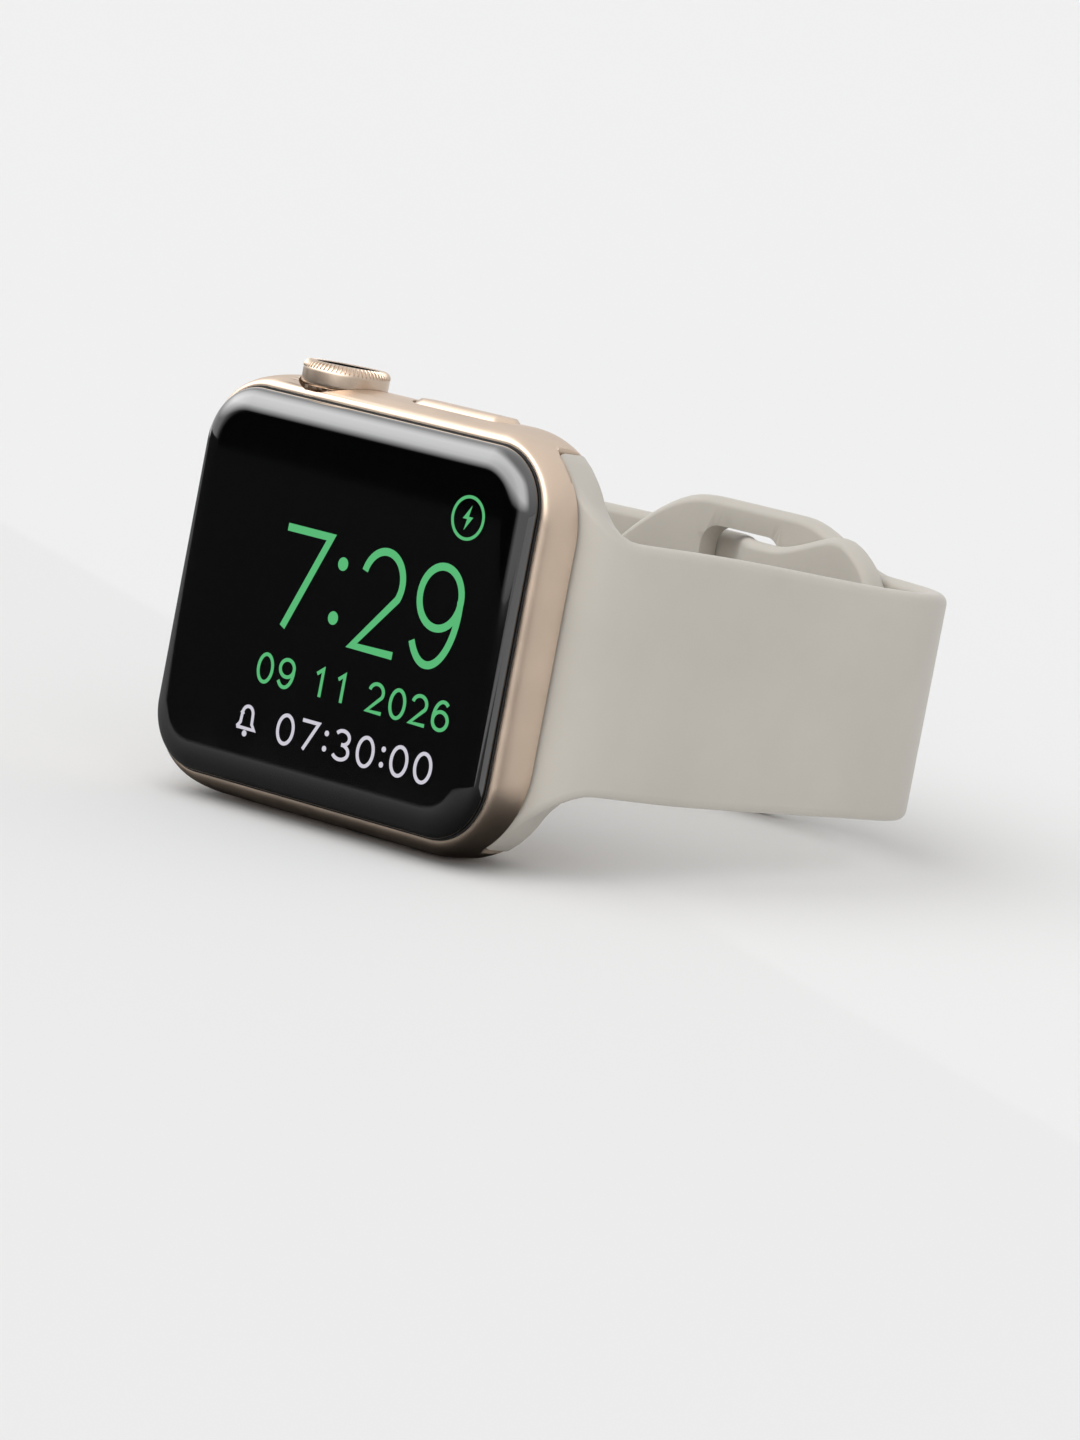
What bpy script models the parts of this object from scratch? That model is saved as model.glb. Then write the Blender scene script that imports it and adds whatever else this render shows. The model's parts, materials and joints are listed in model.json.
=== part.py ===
"""A rectangular smartwatch on a closed pin-and-tuck silicone band, lying on its long side.

The watch is modelled in its own axes, in millimetres: X runs along the long side of the case,
Y from the display (0) to the back, Z towards the crown, with X and Z measured from the middle of
the case. The empty "watch_rest" then leans the whole watch back until the case and the band both
touch the ground plane Z = 0, with the middle of its footprint at the world's origin.
"""

import math

import bmesh
import bpy
from mathutils import Matrix, Vector

MM = 0.001

# ---- Case ----
CASE_LENGTH, CASE_WIDTH = 38.6, 33.3
CASE_CORNER, FRONT_CORNER = 8.0, 5.1  # corner radius at the widest, and round the front rim
CASE_FRONT, CASE_BACK = 1.6, 10.2
FRONT_ROUND = (1.3, 3.6)  # how far the front edge draws in, and over what depth
BACK_ROUND = (3.0, 3.4)
POCKET_X, POCKET_Z = 16.2, 14.4  # half sizes of the hollow behind the display
REAR_POCKET_X = 13.8
REAR_POCKET_FRONT, REAR_WALL = 3.65, 8.6
BACK_OPENING = 12.0
BOSS_RADIUS = 1.1

# ---- Display ----
GLASS_LENGTH, GLASS_WIDTH = 35.4, 30.2
GLASS_CORNER = 4.8
GLASS_BACK = 2.0
SEAM = 0.15  # clearance between glass and case
LEDGE = 2.75  # depth of the step that carries the glass

# ---- Controls, along Z through the upper long side ----
CONTROL_Y = 5.2
CROWN_X, CROWN_RADIUS = -8.3, 3.4
CROWN_FOOT, CROWN_TOP = 16.05, 18.05
CROWN_RECESS = 15.65  # height of the floor of the round recess that the crown stands in
BUTTON_X, BUTTON_LENGTH, BUTTON_WIDTH = 5.2, 10.4, 2.9
BUTTON_FOOT, BUTTON_TOP = 15.8, 16.95

# ---- Band ----
CHANNEL_Y, CHANNEL_DEPTH_Y = 6.5, 3.9  # middle and height of the lug channel
CHANNEL_FLOOR = 15.2
LUG_GAP = 0.3
STRAP_THICKNESS, LUG_THICKNESS = 2.0, 3.3
STRAP_HALF, FLARE_HALF = 9.7, 16.0
FLARE_START, FLARE_LENGTH = 14.0, 7.2
BACK_HALF = 9.0  # half width where the band turns to the back
KEEPER_HALF = 12.0  # half width round the slot that takes the tail
TAIL_HALF, TAIL_RISE = 9.3, 2.1
LAYER_STEP = 2.3  # from the middle of one strap layer to the next
SLOT = (-5.7, 2.7)  # along the band from the middle of its back
SHORT_END, TAIL_END = -17.0, 19.5
STUD_AT = -11.0
HOLE_PITCH, HOLE_COUNT, HOLE_RADIUS = 6.5, 7, 1.9
# The middle of the band's thickness, from the right lug to the middle of the back.
HALF_LOOP = (
    (CHANNEL_FLOOR + LUG_GAP, CHANNEL_Y), (18.9, 6.6), (21.3, 8.4), (22.4, 12.3), (24.0, 22.0), (25.6, 32.0),
    (25.3, 39.0), (21.3, 43.6), (14.0, 46.2), (7.0, 47.3), (0.0, 47.6),
)

RELEASE_X = 13.8
RELEASE_LENGTH, RELEASE_WIDTH = 6.4, 1.5

SCREWS = tuple((x, z) for x in (-12.6, 12.6) for z in (-12.9, 12.9))

REST_CONTACT = (CASE_BACK - BACK_ROUND[1], CASE_WIDTH / 2)
BAND_CONTACT = (HALF_LOOP[-1][1] + STRAP_THICKNESS / 3, KEEPER_HALF)
LEAN = math.atan2(REST_CONTACT[1] - BAND_CONTACT[1], BAND_CONTACT[0] - REST_CONTACT[0])


# ---- Shapes ----

def smooth(t):
    """An S-curve from 0 to 1."""
    t = min(max(t, 0.0), 1.0)
    return t * t * (3 - 2 * t)


def rounded(length, width, radius, y, steps=6):
    """A rounded rectangle in the plane of the display at depth y."""
    points = []
    for corner, (sx, sz) in enumerate(((1, 1), (-1, 1), (-1, -1), (1, -1))):
        for step in range(steps + 1):
            angle = math.pi / 2 * (corner + step / steps)
            points.append((
                sx * (length / 2 - radius) + radius * math.cos(angle),
                y,
                sz * (width / 2 - radius) + radius * math.sin(angle),
            ))
    return points


def inset(length, width, radius, y, by, steps=6):
    return rounded(length - 2 * by, width - 2 * by, max(radius - by, 0.05), y, steps)


def mesh_object(name, bm, material, origin=(0, 0, 0)):
    """Turns a mesh in millimetres into an object in metres whose origin is at origin."""
    bmesh.ops.remove_doubles(bm, verts=bm.verts, dist=1e-5)
    bmesh.ops.recalc_face_normals(bm, faces=bm.faces)
    bmesh.ops.translate(bm, verts=bm.verts, vec=-Vector(origin))
    bmesh.ops.scale(bm, verts=bm.verts, vec=(MM, MM, MM))
    mesh = bpy.data.meshes.new(name)
    bm.to_mesh(mesh)
    bm.free()
    obj = bpy.data.objects.new(name, mesh)
    bpy.context.collection.objects.link(obj)
    obj.location = Vector(origin) * MM
    obj.parent = rest
    if material:
        mesh.materials.append(material)
        mesh.shade_smooth()
        mesh.set_sharp_from_angle(angle=math.radians(40))
    return obj


def add_loft(bm, rings, ends=True):
    """Walls between rings of equally many points. The ends are capped, or the last ring meets the first."""
    loops = [[bm.verts.new(point) for point in ring] for ring in rings]
    count = len(loops[0])
    pairs = list(zip(loops, loops[1:]))
    if ends:
        bm.faces.new(loops[0])
        bm.faces.new(loops[-1])
    else:
        pairs.append((loops[-1], loops[0]))
    for low, high in pairs:
        for i in range(count):
            j = (i + 1) % count
            bm.faces.new((low[i], low[j], high[j], high[i]))


def loft(name, rings, material=None, origin=(0, 0, 0), ends=True):
    bm = bmesh.new()
    add_loft(bm, rings, ends)
    return mesh_object(name, bm, material, origin)


def add_block(bm, low, high, radius=0.3, steps=2):
    """A block with its four edges along Y rounded."""
    middle_x, middle_z = (low[0] + high[0]) / 2, (low[2] + high[2]) / 2
    ring = rounded(high[0] - low[0], high[2] - low[2], radius, 0, steps)
    add_loft(bm, [
        [(x + middle_x, y, z + middle_z) for x, _, z in ring] for y in (low[1], high[1])
    ])


def block(name, low, high, material=None, radius=0.3, origin=(0, 0, 0)):
    bm = bmesh.new()
    add_block(bm, low, high, radius)
    return mesh_object(name, bm, material, origin)


def along(axis, centre, radius, height, angle):
    """The point at radius and angle round the axis X, Y or Z through centre, at height along it."""
    across, up = radius * math.cos(angle), radius * math.sin(angle)
    turned_to = {"X": (height, across, up), "Y": (up, height, across), "Z": (across, up, height)}
    return Vector(centre) + Vector(turned_to[axis])


def add_turned(bm, profile, centre, axis="Z", segments=24):
    """A closed profile of (radius, height) points turned round the axis; radius 0 is on it."""
    rings = []
    for radius, height in profile:
        around = 1 if radius == 0 else segments
        rings.append([
            bm.verts.new(along(axis, centre, radius, height, 2 * math.pi * k / segments))
            for k in range(around)
        ])
    for low, high in zip(rings, rings[1:] + rings[:1]):
        if len(low) == len(high) == 1:
            continue
        for k in range(segments):
            n = (k + 1) % segments
            corners = [low[k % len(low)], low[n % len(low)], high[n % len(high)], high[k % len(high)]]
            bm.faces.new(list(dict.fromkeys(corners)))


def turned(name, profile, centre, material=None, axis="Z", segments=24, origin=(0, 0, 0)):
    bm = bmesh.new()
    add_turned(bm, profile, centre, axis, segments)
    return mesh_object(name, bm, material, origin)


def rod(radius, low, high):
    return [(0, low), (radius, low), (radius, high), (0, high)]


def tube(inner, outer, low, high):
    return [(inner, low), (outer, low), (outer, high), (inner, high)]


def add_pill(bm, centre, length, width, low, high, axis, chamfer=0.0, steps=6):
    """A bar with round ends: it runs along X with axis Z, and along Z with axis Y."""
    def ring(height, by):
        radius = width / 2 - by
        points = []
        for end in (1, -1):
            for step in range(steps + 1):
                angle = math.pi * step / steps - math.pi / 2 + (0 if end == 1 else math.pi)
                run = end * (length - width) / 2 + radius * math.cos(angle)
                across = radius * math.sin(angle)
                spot = (run, across, height) if axis == "Z" else (across, height, run)
                points.append(Vector(centre) + Vector(spot))
        return points
    rings = [ring(low, 0), ring(high - chamfer, 0)]
    if chamfer:
        rings.append(ring(high, chamfer))
    add_loft(bm, rings)


def modify(target, tool, operation):
    tool.hide_render = True
    tool.display_type = "WIRE"
    modifier = target.modifiers.new(tool.name, "BOOLEAN")
    modifier.operation = operation
    modifier.object = tool


def cut(target, *tools):
    for tool in tools:
        modify(target, tool, "DIFFERENCE")


def finish(name, colour, roughness, metallic=0.0):
    material = bpy.data.materials.new(name)
    material.use_nodes = True
    shader = material.node_tree.nodes["Principled BSDF"]
    shader.inputs["Base Color"].default_value = (*colour, 1)
    shader.inputs["Roughness"].default_value = roughness
    shader.inputs["Metallic"].default_value = metallic
    return material


# ---- Case ----

def case_section(y):
    """How far the case's side draws in at depth y: an elliptical barrel at the front and the back."""
    front_in, front_over = FRONT_ROUND
    back_in, back_over = BACK_ROUND
    front = max(CASE_FRONT + front_over - y, 0) / front_over
    back = max(y - CASE_BACK + back_over, 0) / back_over
    return front_in * (1 - math.sqrt(1 - front ** 2)) + back_in * (1 - math.sqrt(1 - back ** 2))


def case_corner(y):
    """Corner radius of the case at depth y: tighter round the front rim, to follow the glass."""
    front = max(CASE_FRONT + FRONT_ROUND[1] - y, 0) / FRONT_ROUND[1]
    tighter = CASE_CORNER - FRONT_ROUND[0] - FRONT_CORNER
    return CASE_CORNER - case_section(y) - tighter * front ** 2


def case_body():
    front = [CASE_FRONT + FRONT_ROUND[1] * (1 - math.cos(math.pi / 2 * k / 6)) for k in range(7)]
    back = [CASE_BACK - BACK_ROUND[1] * (1 - math.sin(math.pi / 2 * k / 6)) for k in range(7)]
    case = loft("case_body", [
        rounded(CASE_LENGTH - 2 * case_section(y), CASE_WIDTH - 2 * case_section(y), case_corner(y), y, 10)
        for y in front + back
    ], gold)

    pockets = bmesh.new()
    add_loft(pockets, [
        inset(GLASS_LENGTH, GLASS_WIDTH, GLASS_CORNER, y, -SEAM, 8) for y in (0.5, LEDGE)
    ])
    front_pocket = mesh_object("front_pocket", pockets, None)
    hollow = loft("hollow", [
        rounded(2 * POCKET_X, 2 * POCKET_Z, 5.0, y) for y in (LEDGE - 0.5, REAR_POCKET_FRONT)
    ])
    rear_hollow = loft("rear_hollow", [
        rounded(2 * REAR_POCKET_X, 2 * POCKET_Z, 3.0, y) for y in (REAR_POCKET_FRONT - 0.5, REAR_WALL)
    ])
    back_opening = turned(
        "back_opening", rod(BACK_OPENING, REAR_WALL - 0.5, CASE_BACK + 1), (0, 0, 0), axis="Y", segments=48
    )
    cut(case, front_pocket, hollow, rear_hollow, back_opening)

    for side, name in ((1, "right"), (-1, "left")):
        channel = loft(f"channel_{name}", [
            [(side * x, CHANNEL_Y + across, z) for x, across in (
                (CHANNEL_FLOOR, -CHANNEL_DEPTH_Y / 2), (CASE_LENGTH, -CHANNEL_DEPTH_Y / 2),
                (CASE_LENGTH, CHANNEL_DEPTH_Y / 2), (CHANNEL_FLOOR, CHANNEL_DEPTH_Y / 2),
            )] for z in (-CASE_WIDTH, CASE_WIDTH)
        ])
        window = block(
            f"latch_window_{name}",
            *on_side(side, (REAR_POCKET_X - 1.0, 5.6, -1.5), (CHANNEL_FLOOR + 0.5, 8.3, 1.5)),
            radius=0.3,
        )
        hole = bmesh.new()
        add_pill(
            hole, (side * RELEASE_X, 0, 0), RELEASE_LENGTH + 0.4, RELEASE_WIDTH + 0.4,
            REAR_WALL - 0.6, CASE_BACK + 1, "Y",
        )
        cut(case, channel, window, mesh_object(f"release_hole_{name}", hole, None))

    bosses = bmesh.new()
    holes = bmesh.new()
    for x, z in SCREWS:
        add_turned(bosses, rod(BOSS_RADIUS, 4.3, REAR_WALL + 0.4), (x, 0, z), "Y", 12)
        add_turned(holes, rod(0.6, 4.0, 7.2), (x, 0, z), "Y", 10)
    modify(case, mesh_object("bosses", bosses, None), "UNION")
    cut(case, mesh_object("boss_holes", holes, None))

    top = bmesh.new()
    add_turned(top, rod(1.8, POCKET_Z - 1, CASE_WIDTH), (CROWN_X, CONTROL_Y, 0), "Z", 20)
    cut(case, mesh_object("crown_bore", top, None))
    top = bmesh.new()
    add_turned(top, rod(CROWN_RADIUS + 0.3, CROWN_RECESS, CASE_WIDTH), (CROWN_X, CONTROL_Y, 0), "Z", 40)
    cut(case, mesh_object("crown_recess", top, None))
    top = bmesh.new()
    add_pill(
        top, (BUTTON_X, CONTROL_Y, 0), BUTTON_LENGTH + 0.4, BUTTON_WIDTH + 0.4, 15.5, CASE_WIDTH, "Z"
    )
    cut(case, mesh_object("button_pocket", top, None))
    top = bmesh.new()
    add_turned(top, rod(1.0, POCKET_Z - 1, 15.8), (BUTTON_X, CONTROL_Y, 0), "Z", 12)
    cut(case, mesh_object("button_bore", top, None))

    for name, x, length in (("speaker_port_left", 3.0, 4.6), ("speaker_port_right", 9.6, 4.6), ("mic_port", -7.0, 1.8)):
        port = bmesh.new()
        add_pill(port, (x, CONTROL_Y + 0.6, 0), length, 1.3, -CASE_WIDTH, -POCKET_Z + 1, "Z")
        cut(case, mesh_object(name, port, None))


def on_side(side, low, high):
    """A box given for the right side, mirrored when side is -1."""
    if side == 1:
        return low, high
    return (-high[0], low[1], low[2]), (-low[0], high[1], high[2])


def back_parts():
    turned("back_cover", [
        (9.9, 9.0), (11.4, 9.0), (BACK_OPENING - 0.3, 9.2), (BACK_OPENING - 0.3, 10.35), (9.9, 10.75),
    ], (0, 0, 0), ceramic, "Y", 48)
    dome = [(9.6 * math.sin(a), 9.9 + 1.5 * math.cos(a)) for a in (math.pi / 2 * k / 6 for k in range(6, -1, -1))]
    turned("sensor_crystal", [(0, 9.35), (9.6, 9.35)] + dome, (0, 0, 0), crystal, "Y", 40)
    turned("back_gasket", tube(10.4, 11.6, 8.5, 8.85), (0, 0, 0), rubber, "Y", 32)
    turned("sensor_board", rod(9.6, 8.1, 8.45), (0, 0, 0), board_green, "Y", 32)
    turned("charging_coil", tube(5.4, 9.4, 7.35, 7.9), (0, 0, 0), copper, "Y", 32)
    turned("alignment_magnet", rod(4.6, 7.35, 7.9), (0, 0, 0), steel, "Y", 24)
    for name, x, z, colour in (
        ("heart_led_upper", 0, 3.9, lens), ("heart_led_lower", 0, -3.9, lens),
        ("photodiode_left", -3.9, 0, silicon), ("photodiode_right", 3.9, 0, silicon),
    ):
        turned(name, rod(1.5, 8.6, 9.15), (x, 0, z), colour, "Y", 16)


# ---- Display ----

def display_parts():
    edge = (1 - math.cos(math.pi / 2 * k / 6) for k in range(7))
    rings = [
        inset(GLASS_LENGTH, GLASS_WIDTH, GLASS_CORNER, 1.3 * rise, 2.2 * (1 - math.sqrt(1 - (1 - rise) ** 2)), 8)
        for rise in edge
    ]
    rings.append(inset(GLASS_LENGTH, GLASS_WIDTH, GLASS_CORNER, GLASS_BACK, 0, 8))
    loft("cover_glass", rings, glass)
    loft("display_gasket", [
        inset(GLASS_LENGTH, GLASS_WIDTH, GLASS_CORNER, y, by, 6)
        for y, by in ((2.1, 0.1), (2.6, 0.1), (2.6, 1.3), (2.1, 1.3))
    ], rubber, ends=False)
    loft("display_panel", [rounded(31.4, 26.4, 3.6, y) for y in (2.15, 3.2)], panel)
    frame = loft("inner_frame", [rounded(26.8, 27.6, 3.0, y, 4) for y in (3.7, 4.05)], steel)
    holes = bmesh.new()
    for x, z in SCREWS:
        add_turned(holes, rod(0.6, 3.0, 5.0), (x, 0, z), "Y", 10)
    opening = block("frame_window", (-10.5, 3, 5.2), (11.2, 5, 15.0), radius=1.0)
    cut(frame, mesh_object("frame_holes", holes, None), opening)
    for number, (x, z) in enumerate(SCREWS, 1):
        turned(
            f"frame_screw_{number}",
            [(0, 3.35), (0.85, 3.35), (0.85, 3.6), (0.45, 3.65), (0.45, 6.8), (0, 6.8)],
            (x, 0, z), steel, "Y", 12,
        )


# ---- Inside ----

def inner_parts():
    block("battery", (-1.8, 4.3, -8.4), (12.4, 7.0, 4.4), battery_grey, 0.8)
    block("haptic_motor", (-1.8, 4.3, 5.2), (11.2, 7.0, 10.4), steel, 2.2)
    block("main_board", (-12.4, 6.4, -10.6), (-2.6, 7.1, 9.4), board_green, 0.6)
    block("system_module", (-12.2, 4.4, -10.0), (-3.0, 6.1, 6.6), shield, 0.5)
    block("speaker_module", (0.6, 4.3, -14.0), (10.8, 7.1, -9.0), black_plastic, 0.7)
    block("microphone", (-8.4, 4.5, -14.0), (-5.6, 7.2, -11.6), shield, 0.3)
    block("antenna_strip", (-6.0, 7.35, 11.0), (9.0, 7.9, 13.6), copper, 0.4)


# ---- Crown and side button ----

def controls():
    crown = (CROWN_X, CONTROL_Y, 0)
    crown_origin = (CROWN_X, CONTROL_Y, CASE_WIDTH / 2)
    turned("crown_knob", [
        (0.9, CROWN_FOOT), (2.9, CROWN_FOOT), (3.3, CROWN_FOOT + 0.25), (CROWN_RADIUS, 16.7), (3.36, 17.25),
        (3.1, 17.75), (2.75, CROWN_TOP), (2.5, CROWN_TOP), (2.5, 17.65), (0, 17.65), (0, 17.05), (0.9, 17.05),
    ], crown, gold, segments=40, origin=crown_origin)
    turned("crown_cap", rod(2.35, 17.8, 18.03), crown, black_plastic, segments=32, origin=crown_origin)
    turned("crown_shaft", rod(0.75, 10.6, 16.85), crown, steel, segments=16, origin=crown_origin)
    turned("encoder_wheel", tube(0.85, 1.5, 11.6, 13.0), crown, black_plastic, segments=24, origin=crown_origin)
    turned("crown_bushing", tube(1.0, 1.65, 13.9, 15.1), crown, brass, segments=20)
    turned("crown_seal", tube(0.95, 1.6, 15.2, 15.55), crown, rubber, segments=20)
    turned("thrust_plate", rod(1.4, 9.9, 10.4), crown, steel, segments=20, origin=crown_origin)
    block("crown_switch", (CROWN_X - 1.7, 4.3, 7.4), (CROWN_X + 1.7, 6.1, 9.3), shield, 0.3)
    block("encoder_sensor", (CROWN_X + 1.8, 4.4, 11.4), (CROWN_X + 3.7, 6.1, 13.2), silicon, 0.2)

    button_origin = (BUTTON_X, CONTROL_Y, CASE_WIDTH / 2)
    cap = bmesh.new()
    add_pill(cap, (BUTTON_X, CONTROL_Y, 0), BUTTON_LENGTH, BUTTON_WIDTH, BUTTON_FOOT, BUTTON_TOP, "Z", 0.35, 8)
    mesh_object("side_button", cap, gold, button_origin)
    turned(
        "button_plunger", rod(0.7, 12.8, 15.65), (BUTTON_X, CONTROL_Y, 0), steel, segments=14, origin=button_origin
    )
    turned("button_seal", tube(0.75, 0.95, 14.6, 15.2), (BUTTON_X, CONTROL_Y, 0), rubber, segments=14)
    block("button_switch", (BUTTON_X - 2.0, 4.3, 11.0), (BUTTON_X + 2.0, 6.4, 12.35), shield, 0.3)


# ---- Band ----

def loop_path(distance_step=0.25):
    """Points and directions along the whole closed band at an even spacing, by their distance from
    the middle of the back: negative on the left. A smooth curve runs through HALF_LOOP and its mirror."""
    knots = [Vector((x, y)) for x, y in HALF_LOOP]
    knots = [Vector((-v.x, v.y)) for v in knots[:-1]] + knots[::-1]
    knots = [2 * knots[0] - knots[1]] + knots + [2 * knots[-1] - knots[-2]]
    points = []
    for a, b, c, d in zip(knots, knots[1:], knots[2:], knots[3:]):
        for k in range(40):
            t = k / 40
            points.append(0.5 * (
                2 * b + (c - a) * t + (2 * a - 5 * b + 4 * c - d) * t ** 2 + (3 * b - a - 3 * c + d) * t ** 3
            ))
    points.append(knots[-2])
    travelled = [0.0]
    for a, b in zip(points, points[1:]):
        travelled.append(travelled[-1] + (b - a).length)
    half = travelled[-1] / 2
    return [distance - half for distance in travelled], points


PATH = loop_path()
HALF_LENGTH = PATH[0][-1]


def on_loop(distance, offset=0.0):
    """The point at a distance along the band, offset outwards, and the outward direction there."""
    distances, points = PATH
    index = next((i for i, at in enumerate(distances) if at > distance), len(points) - 1)
    index = max(index, 1)
    a, b = points[index - 1], points[index]
    part = (distance - distances[index - 1]) / (distances[index] - distances[index - 1])
    ahead = (b - a).normalized()
    outward = Vector((-ahead.y, ahead.x))
    return a.lerp(b, part) + outward * offset, outward


def section(distance, offset, half, rise, thickness):
    """A strap's cross-section with its long edges rounded, as a ring of 12 points."""
    middle, outward = on_loop(distance, offset)
    radius = min(thickness * 0.45, half * 0.9)
    ring = []
    for corner, (sn, sz) in enumerate(((1, 1), (-1, 1), (-1, -1), (1, -1))):
        for step in range(3):
            angle = math.pi / 2 * (corner + step / 2)
            across = sn * (thickness / 2 - radius) + radius * math.cos(angle)
            up = sz * (half - radius) + radius * math.sin(angle)
            spot = middle + outward * across
            ring.append((spot.x, spot.y, up + rise))
    return ring


def lug_shape(from_lug):
    """Half width and thickness of a strap at a distance from its end in the channel."""
    t = smooth((from_lug + HALF_LOOP[0][0] + 0.1 - FLARE_START) / FLARE_LENGTH)
    half = FLARE_HALF + (STRAP_HALF - FLARE_HALF) * t
    thin = smooth((from_lug - 3.5) / 5.0)
    return half, LUG_THICKNESS + (STRAP_THICKNESS - LUG_THICKNESS) * thin


def round_end(half, from_end):
    """Half width near an end that closes in a half circle."""
    if from_end >= half:
        return half
    return math.sqrt(max(half ** 2 - (half - from_end) ** 2, 0))


def strap_short(distance):
    half, thickness = lug_shape(HALF_LENGTH - distance)
    half += (BACK_HALF - STRAP_HALF) * smooth((HALF_LENGTH - distance - 12) / 24)
    half += (KEEPER_HALF - BACK_HALF) * (1 - smooth((abs(distance + 1.5) - 5.5) / 11.0))
    half = min(half, round_end(half, distance - SHORT_END))
    return section(distance, 0.0, half, 0.0, thickness)


def strap_long(distance):
    half, thickness = lug_shape(distance + HALF_LENGTH)
    half += (TAIL_HALF - STRAP_HALF) * smooth((distance + HALF_LENGTH - 12) / 24)
    half = round_end(half, TAIL_END - distance)
    offset = LAYER_STEP * (smooth((distance + 27) / 8) - 2 * smooth((distance + 5.0) / 7.0))
    rise = TAIL_RISE * smooth((distance - 3.5) / 9.0)
    return section(distance, offset, half, rise, thickness)


def stations(low, high, spacing, extra):
    """Places along a strap: evenly spread, with extra ones where its outline turns."""
    count = round((high - low) / spacing)
    return sorted({round(low + (high - low) * k / count, 3) for k in range(count + 1)} | set(extra))


def band():
    tip_steps = (0.15, 0.6, 1.5, 3.0, 5.0, 7.0)
    lug_steps = (0.9, 1.8, 2.6, 3.4, 4.3, 5.4)
    short = stations(SHORT_END + 0.15, HALF_LENGTH, 2.9, [
        *(SHORT_END + d for d in tip_steps), *(HALF_LENGTH - d for d in lug_steps),
    ])
    long = stations(-HALF_LENGTH, TAIL_END - 0.15, 2.9, [
        *(TAIL_END - d for d in tip_steps), *(d - HALF_LENGTH for d in lug_steps),
        -4.0, -3.0, -2.2, -1.5, -0.8, 0.0, 1.0,
    ])
    short_strap = loft("strap_short", [strap_short(d) for d in short], silicone)
    long_strap = loft("strap_long", [strap_long(d) for d in long], silicone)

    cut(short_strap, tail_slot(), turned_across("stud_seat", rod(1.85, -4, 4), STUD_AT))
    for number in range(HOLE_COUNT):
        at = STUD_AT + HOLE_PITCH * (number - 3)
        cut(long_strap, turned_across(f"strap_hole_{number + 1}", rod(HOLE_RADIUS, -4, 4), at))

    turned_across("band_stud", [
        (0, -1.95), (2.7, -1.95), (2.9, -1.75), (2.9, -1.3), (1.5, -1.3), (1.5, 3.75),
        (2.3, 3.85), (2.3, 4.25), (1.7, 4.6), (0, 4.7),
    ], STUD_AT, gold)

    for side, name, strap in ((1, "right", short_strap), (-1, "left", long_strap)):
        mouth = (side * (CHANNEL_FLOOR + LUG_GAP), CHANNEL_Y, 0)
        cut(strap, turned(f"pin_bore_{name}", rod(1.0, *sorted((-side, side * 2.6))), mouth, axis="X", segments=14))
        turned(
            f"lug_pin_{name}", rod(0.8, *sorted((side * 0.05, side * 1.6))), mouth, steel, "X", 14, origin=mouth
        )


def tail_slot():
    """The slot's cutter: a bar with round corners across the band, deep enough for the curved back."""
    bm = bmesh.new()
    add_block(bm, (SLOT[0], 44.0, -TAIL_HALF - 0.4), (SLOT[1], 50.5, TAIL_HALF + 0.4), 1.6, 4)
    return mesh_object("tail_slot", bm, None)


def turned_across(name, profile, distance, material=None):
    """A turned solid whose axis points outwards through the band at a distance along it."""
    middle, outward = on_loop(distance)
    bm = bmesh.new()
    add_turned(bm, profile, (0, 0, 0), "Y", 20)
    turn = Matrix.Rotation(-math.atan2(outward.x, outward.y), 4, "Z")
    bm.transform(Matrix.Translation((middle.x, middle.y, 0)) @ turn)
    return mesh_object(name, bm, material)


# ---- Band release ----

def release_parts():
    for side, name in ((1, "right"), (-1, "left")):
        bm = bmesh.new()
        add_pill(
            bm, (side * RELEASE_X, 0, 0), RELEASE_LENGTH, RELEASE_WIDTH, 9.0, 10.2, "Y", 0.25
        )
        button = mesh_object(f"release_button_{name}", bm, gold)
        foot = block(f"release_foot_{name}", *on_side(side, (13.15, 6.6, -1.0), (13.65, 9.5, 1.0)), radius=0.1)
        tooth = block(
            f"release_tooth_{name}",
            *on_side(side, (13.4, 6.8, -1.0), (CHANNEL_FLOOR - 0.15, 8.0, 1.0)), radius=0.1,
        )
        modify(button, foot, "UNION")
        modify(button, tooth, "UNION")
        coil(f"release_spring_{name}", (side * 13.2, 4.4, 0), 0.36, 0.08, 1.45, 3.5)


def coil(name, start, radius, wire, length, turns, steps=9):
    """A compression spring along Y, as a curve with a round bevel."""
    count = round(turns * steps)
    curve = bpy.data.curves.new(name, "CURVE")
    curve.dimensions = "3D"
    curve.bevel_depth = wire * MM
    curve.bevel_resolution = 0
    curve.use_fill_caps = True
    spline = curve.splines.new("POLY")
    spline.points.add(count)
    for k, point in enumerate(spline.points):
        angle = 2 * math.pi * k / steps
        spot = Vector((radius * math.cos(angle), length * k / count, radius * math.sin(angle)))
        point.co = (*(spot * MM), 1)
    curve.materials.append(steel)
    obj = bpy.data.objects.new(name, curve)
    bpy.context.collection.objects.link(obj)
    obj.location = Vector(start) * MM
    obj.parent = rest


# ---- Assembly ----

def lowest_middle():
    """The middle of the bottom of the box round every finished piece, in metres."""
    bpy.context.view_layer.update()
    graph = bpy.context.evaluated_depsgraph_get()
    corners = []
    for obj in bpy.data.objects:
        if obj.type in ("MESH", "CURVE") and not obj.hide_render:
            mesh = obj.evaluated_get(graph).to_mesh()
            corners += [obj.matrix_world @ vertex.co for vertex in mesh.vertices]
            obj.evaluated_get(graph).to_mesh_clear()
    low, high = (Vector([pick(c[i] for c in corners) for i in range(3)]) for pick in (min, max))
    return Vector(((low.x + high.x) / 2, (low.y + high.y) / 2, low.z))


for old in list(bpy.data.objects):
    bpy.data.objects.remove(old)

rest = bpy.data.objects.new("watch_rest", None)
bpy.context.collection.objects.link(rest)
rest.rotation_euler.x = -LEAN

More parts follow.
